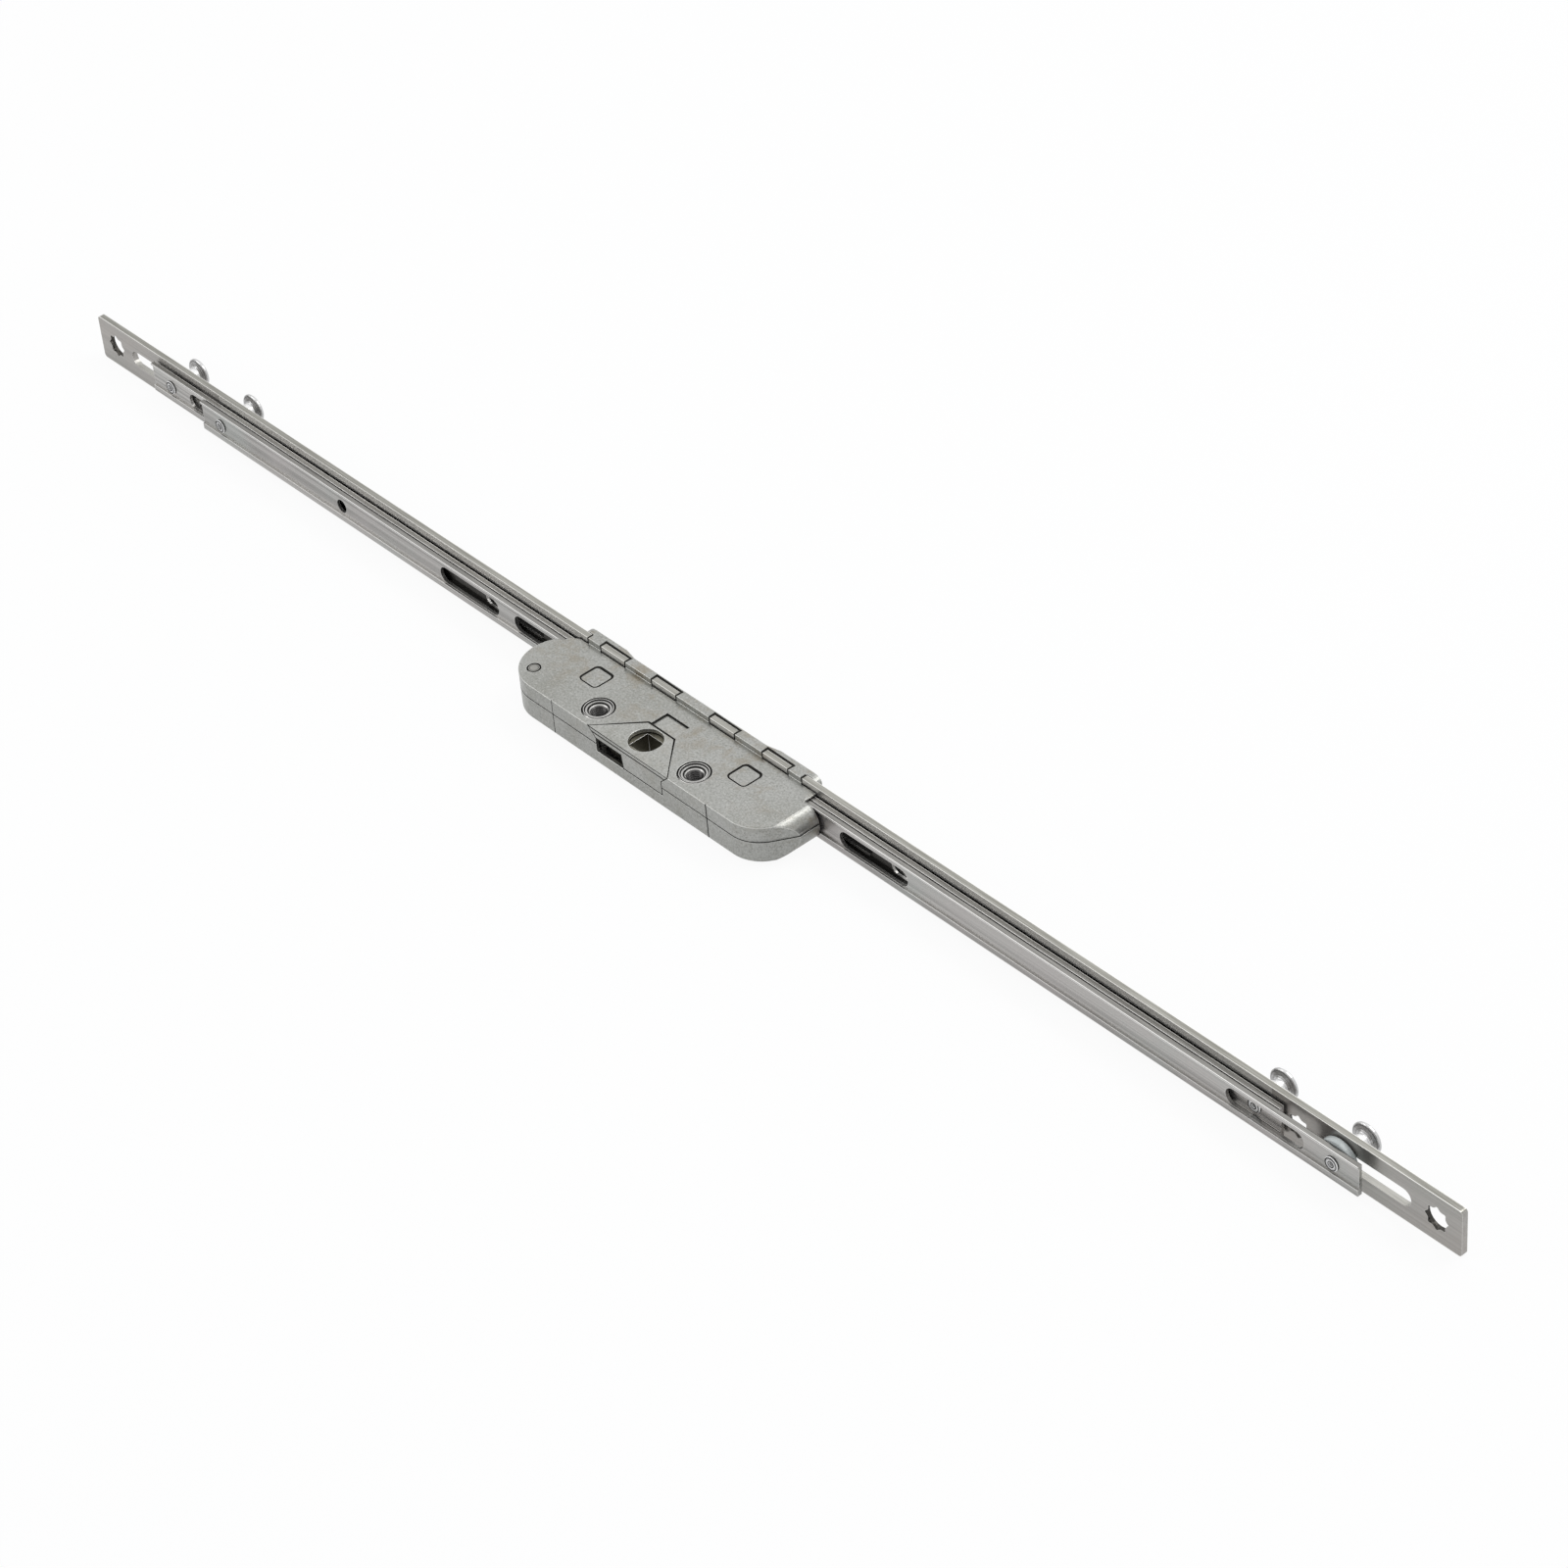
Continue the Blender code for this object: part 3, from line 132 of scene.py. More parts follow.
class Graph:
    """Small helper round one material's node tree."""

    def __init__(self, name):
        self.mat = bpy.data.materials.new(name)
        self.mat.use_nodes = True
        self.tree = self.mat.node_tree
        self.bsdf = self.tree.nodes["Principled BSDF"]
        self.out = self.tree.nodes["Material Output"]

    def node(self, kind, **props):
        n = self.tree.nodes.new(kind)
        for key, value in props.items():
            setattr(n, key, value)
        return n

    def link(self, a, b):
        self.tree.links.new(a, b)

    def feed(self, value, socket):
        """Set a socket to a number or a colour, or link another node's output to it."""
        if isinstance(value, (int, float)):
            socket.default_value = value
        elif isinstance(value, tuple):
            socket.default_value = (*value, 1.0)
        else:
            self.link(value, socket)

    def math(self, op, a, b=0.0):
        m = self.node("ShaderNodeMath", operation=op)
        self.feed(a, m.inputs[0])
        self.feed(b, m.inputs[1])
        return m.outputs[0]

    def times(self, a, b):
        return self.math("MULTIPLY", a, b)

    def larger(self, a, b):
        return self.math("MAXIMUM", a, b)

    def mix(self, fac, a, b, mode="MIX"):
        m = self.node("ShaderNodeMix", data_type="RGBA", blend_type=mode)
        self.feed(fac, m.inputs[MIX_FACTOR])
        self.feed(a, m.inputs[MIX_A])
        self.feed(b, m.inputs[MIX_B])
        return m.outputs[MIX_RESULT]

    def span(self, source, low, high, in_low=0.3, in_high=0.7):
        """low to high as the source goes from in_low to in_high, and level beyond them."""
        m = self.node("ShaderNodeMapRange")
        m.inputs["From Min"].default_value = in_low
        m.inputs["From Max"].default_value = in_high
        m.inputs["To Min"].default_value = low
        m.inputs["To Max"].default_value = high
        self.link(source, m.inputs["Value"])
        return m.outputs["Result"]

    def over(self, source, low, high, top=1.0):
        """0 where the source is below low, rising to top where it is above high."""
        return self.span(source, 0.0, top, low, high)

    def under(self, source, low, high, top=1.0):
        """top where the source is below low, falling to 0 where it is above high."""
        return self.span(source, top, 0.0, low, high)

    def near(self, source, level, reach):
        """1 where the source is within reach of the level, else 0."""
        m = self.node("ShaderNodeMath", operation="COMPARE")
        self.link(source, m.inputs[0])
        m.inputs[1].default_value = level
        m.inputs[2].default_value = reach
        return m.outputs[0]

    def near_any(self, source, levels, reach):
        """1 where the source is within reach of one of the levels."""
        hit = self.near(source, levels[0], reach)
        for level in levels[1:]:
            hit = self.larger(hit, self.near(source, level, reach))
        return hit

    def ramp(self, source, stops):
        r = self.node("ShaderNodeValToRGB")
        elements = r.color_ramp.elements
        while len(elements) < len(stops):
            elements.new(0.5)
        for element, (place, colour) in zip(elements, stops):
            element.position = place
            element.color = (*colour, 1.0)
        self.link(source, r.inputs["Fac"])
        return r.outputs["Color"]

    def noise(self, scale, detail=3.0, roughness=0.55, stretch=(1, 1, 1)):
        tex = self.node("ShaderNodeTexCoord")
        mapping = self.node("ShaderNodeMapping")
        mapping.inputs["Scale"].default_value = stretch
        self.link(tex.outputs["Object"], mapping.inputs["Vector"])
        n = self.node("ShaderNodeTexNoise")
        n.inputs["Scale"].default_value = scale
        n.inputs["Detail"].default_value = detail
        n.inputs["Roughness"].default_value = roughness
        self.link(mapping.outputs["Vector"], n.inputs["Vector"])
        return n.outputs["Fac"]

    def coordinate(self, kind, axis):
        """One axis of the place or the normal."""
        tex = self.node("ShaderNodeTexCoord")
        parts = self.node("ShaderNodeSeparateXYZ")
        self.link(tex.outputs[kind], parts.inputs[0])
        return parts.outputs[axis]

    def along(self, axis):
        """Position along one axis."""
        return self.coordinate("Object", axis)

    def facing(self, axis):
        """1 on faces that look along one axis, either way, else 0."""
        return self.over(self.math("ABSOLUTE", self.coordinate("Normal", axis)), 0.6, 0.8)

    def rounded(self, radius):
        b = self.node("ShaderNodeBevel", samples=6)
        b.inputs["Radius"].default_value = radius
        return b.outputs["Normal"]

    def edge(self, radius, gain):
        """1 on edges, 0 on flats, from the turn of a rounded normal."""
        geo = self.node("ShaderNodeNewGeometry")
        dot = self.node("ShaderNodeVectorMath", operation="DOT_PRODUCT")
        self.link(self.rounded(radius), dot.inputs[0])
        self.link(geo.outputs["Normal"], dot.inputs[1])
        less = self.math("SUBTRACT", 1.0, dot.outputs["Value"])
        clip = self.node("ShaderNodeClamp")
        self.link(self.times(less, gain), clip.inputs["Value"])
        return clip.outputs["Result"]

    def rings(self, centre, axis, stops):
        """Grey level against the distance from an axis; the stops are (millimetres, level)."""
        tex = self.node("ShaderNodeTexCoord")
        shift = self.node("ShaderNodeMapping", vector_type="POINT")
        scale = [1 / MM] * 3
        scale[axis] = 0.0
        shift.inputs["Scale"].default_value = scale
        shift.inputs["Location"].default_value = [-c * k for c, k in zip(centre, scale)]
        self.link(tex.outputs["Object"], shift.inputs["Vector"])
        length = self.node("ShaderNodeVectorMath", operation="LENGTH")
        self.link(shift.outputs["Vector"], length.inputs[0])
        share = self.math("DIVIDE", length.outputs["Value"], RING_LIMIT)
        return self.ramp(share, [(r / RING_LIMIT, (level,) * 3) for r, level in stops])

    def shade(self, reach, low, high):
        """1 where little of the surroundings is open within reach, else 0."""
        ao = self.node("ShaderNodeAmbientOcclusion", samples=12)
        ao.inputs["Distance"].default_value = reach
        return self.under(ao.outputs["AO"], low, high)

    def bump(self, heights, normal=None):
        """Chain of bumps: (height, strength, distance)."""
        last = normal
        for height, strength, distance in heights:
            b = self.node("ShaderNodeBump")
            b.inputs["Strength"].default_value = strength
            b.inputs["Distance"].default_value = distance
            self.link(height, b.inputs["Height"])
            if last is not None:
                self.link(last, b.inputs["Normal"])
            last = b.outputs["Normal"]
        return last

    def finish(self, base, metallic=None, rough=None, normal=None):
        """Lead the colour, roughness and normal into the surface."""
        self.link(base, self.bsdf.inputs["Base Color"])
        if metallic is not None:
            self.bsdf.inputs["Metallic"].default_value = metallic
        if rough is not None:
            self.link(rough, self.bsdf.inputs["Roughness"])
        if normal is not None:
            self.link(normal, self.bsdf.inputs["Normal"])
        return self.mat


def long_lines(g, levels, heights, reach):
    """1 along the lines that run in X at the given Y levels and Z heights."""
    return g.times(g.near_any(g.along(Y), levels, reach), g.near_any(g.along(Z), heights, reach))


def covered(g, level, depth, half_length, half_height):
    """1 on the part of a strip about one Y level that a rail in front of it always hides."""
    inside = g.times(g.near(g.along(X), 0.0, half_length), g.near(g.along(Z), 0.0, half_height))
    return g.times(inside, g.near(g.along(Y), level, depth))


# Materials

def cast_zinc(name, gain):
    """Die-cast zinc: mottled, with a fine grain and faint stains, edges lighter as partly wear
    and partly painted highlight, walls facing along Y painted a little lighter, and painted
    shade in crevices.
    """
    dull, plain, pale = (0.262, 0.264, 0.243), (0.315, 0.317, 0.299), (0.360, 0.362, 0.347)
    light_grain, dark_grain = (0.53, 0.53, 0.51), (0.165, 0.167, 0.150)
    wall, pit = (0.90, 0.90, 0.85), (0.12, 0.118, 0.106)
    stain, wear_and_highlight = (0.235, 0.200, 0.145), (0.72, 0.72, 0.69)

    g = Graph(name)
    patches = g.noise(70, detail=4, roughness=0.6)
    grain = g.noise(1500, detail=3, roughness=0.75)
    pits = g.noise(2300, detail=2, roughness=0.6)
    base = g.ramp(patches, [(0.30, dull), (0.5, plain), (0.72, pale)])
    base = g.mix(1.0, base, (gain, gain, gain), "MULTIPLY")
    # Painted light: faces that look along Y are mixed a little towards a pale colour, so the
    # walls come out lighter.
    base = g.mix(g.times(g.facing(Y), 0.06), base, wall)
    base = g.mix(g.over(grain, 0.52, 0.72, top=0.6), base, light_grain)
    base = g.mix(g.under(grain, 0.30, 0.48, top=0.7), base, dark_grain)
    base = g.mix(g.over(pits, 0.60, 0.74, top=0.6), base, pit)
    stains = g.over(g.noise(110, detail=5, roughness=0.7), 0.50, 0.68, top=0.7)
    fewer_at_wall = g.span(g.along(Y), 0.25, 1.0, -20 * MM, -4 * MM)
    base = g.mix(g.times(stains, fewer_at_wall), base, stain)
    # Painted highlight, partly wear: rounded edges are mixed towards a pale colour.
    base = g.mix(g.times(g.edge(0.34 * MM, gain=22.0), 0.8), base, wear_and_highlight)
    # Painted shade: narrow crevices and faces hemmed in by other pieces are mixed towards near
    # black.
    crevice_shade = g.larger(g.shade(0.7 * MM, low=0.10, high=0.45), g.shade(4 * MM, low=0.12, high=0.42))
    base = g.mix(crevice_shade, base, PAINTED_SHADE)
    domed = g.over(g.along(X), CASE_DOME - 0.2 * MM, CASE_DOME)
    normal = g.bump([(grain, 0.35, 0.06 * MM), (g.noise(420, detail=3), 0.25, 0.2 * MM)],
                    g.mix(domed, g.rounded(0.3 * MM), g.rounded(1.3 * MM)))
    return g.finish(base, metallic=0.8, rough=g.span(patches, 0.27, 0.38), normal=normal)


def strip_steel(name, face, rim, rough, streak, tint, edge_colour, edges, hidden, gloom,
                folds=(), holes=(), lightened_band=None):
    """Plated strip: drawn lines along X, faint tinted patches, darker cut sides, and bright
    edges that are partly wear and partly painted highlight.

    edges and folds hold the Y levels and Z heights of the long edges, which get painted
    highlight lines, and of the inner corners, which get painted shade lines. hidden bounds the
    part behind a rail that is painted near black as shade. gloom is the range of openness within
    which faces get painted shade. The walls of the star holes, at the given distances, are
    painted dark as shade, and the last argument bounds the band of the bar's back face, beside
    the rails, that is made lighter.
    """
    dark, light = face
    warm, cool = tint
    star_wall_shade = (0.05, 0.047, 0.042)

    g = Graph(name)
    lines = g.noise(1.0, detail=3, roughness=0.6, stretch=(5, 1900, 1900))
    side_lines = g.noise(1.0, detail=3, roughness=0.6, stretch=(60, 1800, 1800))
    wide = g.noise(1.0, detail=2, roughness=0.5, stretch=(2.5, 620, 620))
    patches = g.noise(24, detail=3, roughness=0.6)
    base = g.ramp(lines, [(0.36, dark), (0.66, light)])
    base = g.mix(g.over(wide, 0.42, 0.6, top=0.6), base, light)
    base = g.mix(g.under(wide, 0.36, 0.5, top=0.6), base, dark)
    base = g.mix(g.over(patches, 0.5, 0.68, top=0.5), base, warm)
    base = g.mix(g.under(patches, 0.32, 0.48, top=0.5), base, cool)
    base = g.mix(g.facing(Z), base, g.ramp(side_lines, [(0.3, rim[0]), (0.7, rim[1])]))
    below_top = edges[1][-1] - CUT_INSET
    cut = g.times(g.facing(Z), g.near(g.along(Z), 0.0, below_top))
    base = g.mix(g.times(cut, 0.22), base, edge_colour)
    # Painted highlight, partly wear: rounded edges, less so on the cut sides, are mixed towards
    # the edge colour.
    wear_and_highlight = g.times(g.edge(0.26 * MM, gain=20.0), g.under(g.facing(Z), 0.0, 1.0, top=0.45))
    base = g.mix(wear_and_highlight, base, edge_colour)
    # Painted shade: dark lines along the inner corners held in folds.
    for levels, heights in folds:
        base = g.mix(g.times(long_lines(g, levels, heights, FOLD_LINE), 0.8), base, PAINTED_SHADE)
    # Painted highlight: bright lines along the long edges.
    base = g.mix(g.times(long_lines(g, *edges, EDGE_LINE), 0.9), base, edge_colour)
    # Painted shade: the walls of the star holes are made near black.
    if holes:
        inside = g.times(g.near_any(g.math("ABSOLUTE", g.along(X)), holes, STAR_REACH),
                         g.near(g.along(Z), 0.0, STAR_REACH))
        wall = g.math("SUBTRACT", 1.0, g.facing(Y))
        base = g.mix(g.times(inside, wall), base, star_wall_shade)
    # A band of the bar's back face beside the rails is made lighter.
    if lightened_band:
        base = g.mix(g.times(covered(g, *lightened_band), 0.45), base, edge_colour)
    # Painted shade: the part that a rail always hides is made near black.
    base = g.mix(g.times(covered(g, *hidden), 0.95), base, PAINTED_SHADE)
    # Painted shade: faces with little open space within reach are made near black.
    base = g.mix(g.shade(3.2 * MM, *gloom), base, PAINTED_SHADE)
    normal = g.bump([(lines, streak, 0.05 * MM), (g.noise(2200, detail=2), 0.08, 0.05 * MM)])
    return g.finish(base, metallic=0.85, rough=g.span(wide, rough - 0.05, rough + 0.08),
                    normal=normal)


def turned_steel(name, colour, rough, rings=None):
    """Turned or upset steel with faint rubs, edges lighter as partly wear and partly painted
    highlight, painted shade in crevices, and rings round its axis that are partly tool rings and
    partly painted shade and highlight.
    """
    dark = tuple(0.78 * c for c in colour)
    wear_and_highlight = (0.86, 0.86, 0.85)

    g = Graph(name)
    rubs = g.noise(420, detail=4, roughness=0.65)
    base = g.ramp(rubs, [(0.28, dark), (0.7, colour)])
    # Painted highlight, partly wear: rounded edges are mixed towards a pale colour.
    base = g.mix(g.times(g.edge(0.2 * MM, gain=14.0), 0.7), base, wear_and_highlight)
    heights = [(g.noise(2400, detail=2), 0.08, 0.04 * MM)]
    if rings:
        # The rings' grey levels are partly painted shade in grooves and bores and painted
        # highlight on rims, and also lift a bump.
        level = g.rings(*rings)
        base = g.mix(1.0, base, level, "MULTIPLY")
        heights.append((level, 0.6, 0.12 * MM))
    # Painted shade: crevices are mixed towards near black.
    base = g.mix(g.shade(2.4 * MM, low=0.06, high=0.28), base, PAINTED_SHADE)
    normal = g.bump(heights, g.rounded(0.2 * MM))
    return g.finish(base, metallic=0.92, rough=g.span(rubs, rough - 0.04, rough + 0.08),
                    normal=normal)


def ringed(node, colour, rough, axis, stops):
    """Turned material whose rings, partly painted shade and highlight, run round one node's own
    axis.
    """
    low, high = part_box(node)
    centre = [(a + b) / 2 for a, b in zip(low, high)]
    return turned_steel(node + "_steel", colour, rough, (centre, axis, stops))


def nylon():
    """Cloudy nylon, with painted shade that darkens it towards the floor."""
    g = Graph("nylon")
    cloud = g.noise(160, detail=3)
    base = g.ramp(cloud, [(0.3, (0.43, 0.47, 0.46)), (0.7, (0.56, 0.59, 0.58))])
    # Painted shade: darker towards the floor.
    base = g.mix(g.under(g.along(Z), -4 * MM, 2 * MM, top=0.55), base, (0.27, 0.30, 0.29))
    g.bsdf.inputs["Subsurface Weight"].default_value = 0.2
    g.bsdf.inputs["Subsurface Radius"].default_value = (2 * MM,) * 3
    normal = g.bump([(g.noise(1200, detail=2), 0.05, 0.05 * MM)], g.rounded(0.2 * MM))
    return g.finish(base, rough=g.span(cloud, 0.32, 0.42), normal=normal)


def thread_steel():
    """Inside of a threaded bush: painted dark as the shade in the bore, with painted highlights
    on the crests.
    """
    g = Graph("thread_steel")
    rubs = g.noise(900, detail=3)
    # Painted shade: the bore's thread is near black.
    base = g.ramp(rubs, [(0.3, (0.030, 0.029, 0.028)), (0.7, (0.085, 0.082, 0.082))])
    # Painted highlight on the crests.
    base = g.mix(g.times(g.edge(0.14 * MM, gain=8.0), 0.8), base, (0.28, 0.27, 0.265))
    return g.finish(base, metallic=0.8, rough=g.span(rubs, 0.25, 0.38))


def painted_joint_shade():
    """Near-black painted shade laid over the narrow joints between two pieces."""
    g = Graph("painted_joint_shade")
    clots = g.noise(800, detail=3)
    base = g.ramp(clots, [(0.3, (0.006, 0.006, 0.005)), (0.7, (0.022, 0.021, 0.018))])
    g.bsdf.inputs["Roughness"].default_value = 0.85
    g.bsdf.inputs["Specular IOR Level"].default_value = 0.1
    return g.finish(base, normal=g.bump([(g.noise(2000, detail=2), 0.3, 0.05 * MM)]))


def star_holes():
    """Distances of the star-shaped screw holes from the spindle, from the record's openings."""
    places = []
    for opening in frame["record"]["physics"]["openings"]:
        if "screw_hole_right" in opening["name"]:
            low, high = opening["box_m"]
            places.append(abs(low[X] + high[X]) / 2)
    return places


# Rings round an axis, partly tool rings and partly painted shade in grooves and bores and
# painted highlight on rims and chamfers: distance from the axis in millimetres, and grey level.

CAM_RINGS = [(0.0, 0.35), (0.55, 0.4), (0.75, 1.4), (1.3, 1.4), (1.45, 0.75), (1.65, 0.75),
             (1.8, 1.4), (2.6, 1.4), (2.8, 0.9), (3.1, 0.9), (3.25, 0.5), (3.4, 0.95),
             (4.1, 1.0), (4.25, 0.5), (4.45, 0.55), (4.6, 1.0)]
BUSH_RINGS = [(0.0, 0.08), (2.5, 0.08), (2.58, 1.2), (2.85, 1.2), (2.95, 0.03), (3.35, 0.03),
              (3.45, 0.9), (3.9, 1.0), (4.0, 0.04), (4.3, 0.05), (4.4, 1.4), (4.8, 1.4)]
RIVET_RINGS = [(0.0, 0.9), (1.1, 0.95), (1.25, 0.45), (1.45, 0.5), (1.6, 1.0), (1.85, 1.0)]

BAR_LOW, BAR_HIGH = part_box("faceplate")
OUTER_LOW, OUTER_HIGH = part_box("outer_rail")
INNER_LOW, INNER_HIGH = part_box("inner_rail")

ZINC = cast_zinc("cast_zinc", gain=1.0)
INSERT_ZINC = cast_zinc("insert_zinc", gain=1.08)
BAR = strip_steel(
    "faceplate_steel",
    face=((0.315, 0.302, 0.286), (0.405, 0.391, 0.372)),
    rim=((0.225, 0.220, 0.196), (0.37, 0.365, 0.335)),
    rough=0.32,
    streak=0.15,
    tint=((0.42, 0.38, 0.345), (0.33, 0.34, 0.31)),
    edge_colour=(0.82, 0.81, 0.78),
    edges=((BAR_LOW[Y], BAR_HIGH[Y]), (BAR_LOW[Z], BAR_HIGH[Z])),
    hidden=(BAR_LOW[Y], SKIN, INNER_HIGH[X] - RAIL_END, INNER_HIGH[Z] - SKIN),
    gloom=(0.0, 0.05),
    holes=star_holes(),
    lightened_band=(BAR_LOW[Y], SKIN, INNER_HIGH[X] - RAIL_END, BAR_HIGH[Z] - 2 * SKIN))
RAIL = strip_steel(
    "rail_steel",
    face=((0.25, 0.242, 0.232), (0.50, 0.485, 0.468)),
    rim=((0.18, 0.175, 0.165), (0.30, 0.295, 0.28)),
    rough=0.28,
    streak=0.25,
    tint=((0.44, 0.41, 0.405), (0.39, 0.42, 0.40)),
    edge_colour=(0.90, 0.89, 0.87),
    edges=((OUTER_LOW[Y], INNER_LOW[Y], INNER_HIGH[Y]),
           (OUTER_LOW[Z], LIP_LOW, LIP_HIGH, OUTER_HIGH[Z])),
    hidden=(INNER_LOW[Y] + LIP_DEPTH / 2, LIP_DEPTH, ALWAYS_COVERED, INNER_HIGH[Z] - EDGE_LINE),
    gloom=(0.03, 0.18),
    folds=(((OUTER_LOW[Y] + LIP_DEPTH, INNER_LOW[Y] + LIP_DEPTH), (LIP_HIGH - FOLD_LINE,)),
           ((OUTER_HIGH[Y],), (OUTER_HIGH[Z],))))
BRIGHT = turned_steel("bright_steel", (0.62, 0.62, 0.61), rough=0.22)
GEAR = turned_steel("gear_steel", (0.17, 0.16, 0.125), rough=0.34)
NYLON = nylon()
THREAD = thread_steel()
# Painted shade for the joints.
JOINT = painted_joint_shade()

LOOKS = {"faceplate": BAR, "case_upper": ZINC, "case_lower": ZINC,
         "spindle_insert": INSERT_ZINC, "outer_rail": RAIL, "inner_rail": RAIL,
         "drive_rack": GEAR, "follower": GEAR, "nylon_spacer": NYLON,
         "reversing_pinion": GEAR, "pinion_axle": BRIGHT, "rack_rivet": BRIGHT}
for side in ("left", "right"):
    bush = "handle_bush_" + side
    LOOKS[bush] = ringed(bush, (0.46, 0.455, 0.44), rough=0.32, axis=Z, stops=BUSH_RINGS)
    rivet = "case_rivet_" + side
    LOOKS[rivet] = ringed(rivet, (0.36, 0.355, 0.33), rough=0.4, axis=Z, stops=RIVET_RINGS)
    for cam in ("cam_outer_" + side, "cam_inner_" + side):
        LOOKS[cam] = ringed(cam, (0.60, 0.60, 0.60), rough=0.28, axis=Y, stops=CAM_RINGS)

for node_name, node in frame["nodes"].items():
    for start, mat in LOOKS.items():
        if node_name.startswith(start):
            node.data.materials.clear()
            node.data.materials.append(mat)


# Pieces that the solids lack

def finish_piece(name, bm, mat, body, angle=35, closed=True):
    """Make an object of a closed solid, or of open ribbons that already face outward."""
    if closed:
        bmesh.ops.recalc_face_normals(bm, faces=bm.faces[:])
    else:
        bmesh.ops.remove_doubles(bm, verts=bm.verts[:], dist=WELD)
    mesh = bpy.data.meshes.new(name)
    bm.to_mesh(mesh)
    bm.free()
    mesh.materials.append(mat)
    mesh.polygons.foreach_set("use_smooth", [True] * len(mesh.polygons))
    mesh.set_sharp_from_angle(angle=math.radians(angle))
    obj = bpy.data.objects.new(name, mesh)
    scene.collection.objects.link(obj)
    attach(obj, body)
    return obj


def add_threads():
    """Rolled thread in the bore of each handle bush."""
    crest, root, pitch = 2.12 * MM, 2.46 * MM, 0.8 * MM
    steps, turns = 40, 9
    start_depth = 1.2 * MM
    top = CASE_TOP - start_depth
    profile = ((root, 0.46 * pitch), (crest, 0.08 * pitch), (crest, -0.08 * pitch),
               (root, -0.46 * pitch))
    for word, x in (("left", -BUSH_X), ("right", BUSH_X)):
        bm = bmesh.new()
        rows = []
        for i in range(steps * turns + 1):
            a = 2 * math.pi * i / steps
            z = top - pitch * i / steps
            rows.append([bm.verts.new((x + radius * math.cos(a),
                                       SPINDLE_Y + radius * math.sin(a), z + dz))
                         for radius, dz in profile])
        for one, two in zip(rows, rows[1:]):
            for k in range(len(profile)):
                m = (k + 1) % len(profile)
                bm.faces.new((one[k], one[m], two[m], two[k]))
        bm.faces.new(rows[0])
        bm.faces.new(list(reversed(rows[-1])))
        finish_piece("bush_thread_" + word, bm, THREAD, "gearbox", 25)


add_threads()


# Painted shade in the joints

def flat_border(node, axis, side, level):
    """Border of a node's flat faces at one level, with the way out of it at each edge."""
    bm = bmesh.new()
    bm.from_mesh(frame["nodes"][node].data)
    bmesh.ops.remove_doubles(bm, verts=bm.verts[:], dist=WELD)
    bm.normal_update()
    flat = [f for f in bm.faces if f.normal[axis] * side > FLAT
            and abs(f.calc_center_median()[axis] - level) < LEVEL_REACH]
    inside = set(flat)
    border = []
    for face in flat:
        for loop in face.loops:
            if not any(f in inside for f in loop.edge.link_faces if f is not face):
                start, end = loop.vert.co.copy(), loop.link_loop_next.vert.co.copy()
                outward = (end - start).cross(face.normal).normalized()
                border.append(Edge(start, end, outward))
    bm.free()
    return border


def corner_key(corner):
    return tuple(round(c / WELD) for c in corner)


def mitres(border):
    """Offset of each corner for a border moved outward by one."""
    met = {}
    for edge in border:
        for corner in (edge.start, edge.end):
            met.setdefault(corner_key(corner), []).append(edge.outward)
    offsets = []
    for edge in border:
        pair = []
        for corner in (edge.start, edge.end):
            around = met[corner_key(corner)]
            total = sum(around, Vector())
            lean = max(MITRE_LIMIT, 1 + around[0].dot(around[-1])) if len(around) > 1 else 1.0
            pair.append(total / lean)
        offsets.append(pair)
    return offsets


def reach_out(offset, width):
    """Outer edge of a painted shade line, which is wider on the side away from the camera, as
    painted shadow.
    """
    lean = offset.normalized()
    return offset * width * (1.0 + WIDER_TO_FRONT * lean.y - NARROWER_TO_RIGHT * lean.x)


def add_face(bm, corners):
    bm.faces.new([bm.verts.new(p) for p in corners])


def joint_strip(bm, border, width, normal, lap=LINE_LAP):
    """Painted shade line along a border, lapping over its edge."""
    lift = normal * LINE_LIFT
    for edge, (a, b) in zip(border, mitres(border)):
        corners = (edge.start + reach_out(a, width), edge.end + reach_out(b, width),
                   edge.end - b * lap, edge.start - a * lap)
        add_face(bm, [p + lift for p in corners])


def across(point, centre):
    """Distance between two points, seen from above."""
    return math.hypot(point.x - centre.x, point.y - centre.y)


def both_within(edge, reach):
    """Whether both ends of an edge lie within reach of the spindle, along the bar."""
    return abs(edge.start.x) < reach and abs(edge.end.x) < reach


def insert_joints(bm):
    """Round the spindle insert: its plate, its tongue's pocket and its skirt."""
    spindle = Vector((0, SPINDLE_Y, 0))
    plate = [e for e in flat_border("spindle_insert", Z, 1, CASE_TOP)
             if across(e.start, spindle) > INSERT_RIM and not both_within(e, TONGUE_HALF)]
    joint_strip(bm, plate, PLATE_LINE, UP)
    pocket = [e for e in flat_border("case_upper", Z, 1, CASE_TOP)
              if both_within(e, POCKET_HALF)
              and POCKET_LOW < e.start.y < POCKET_HIGH
              and POCKET_LOW < e.end.y < POCKET_HIGH
              and e.outward.x > -LEANING]
    joint_strip(bm, pocket, POCKET_LINE, UP)
    joint_strip(bm, flat_border("spindle_insert", Y, -1, INSERT_BACK), SKIRT_LINE, BACK)


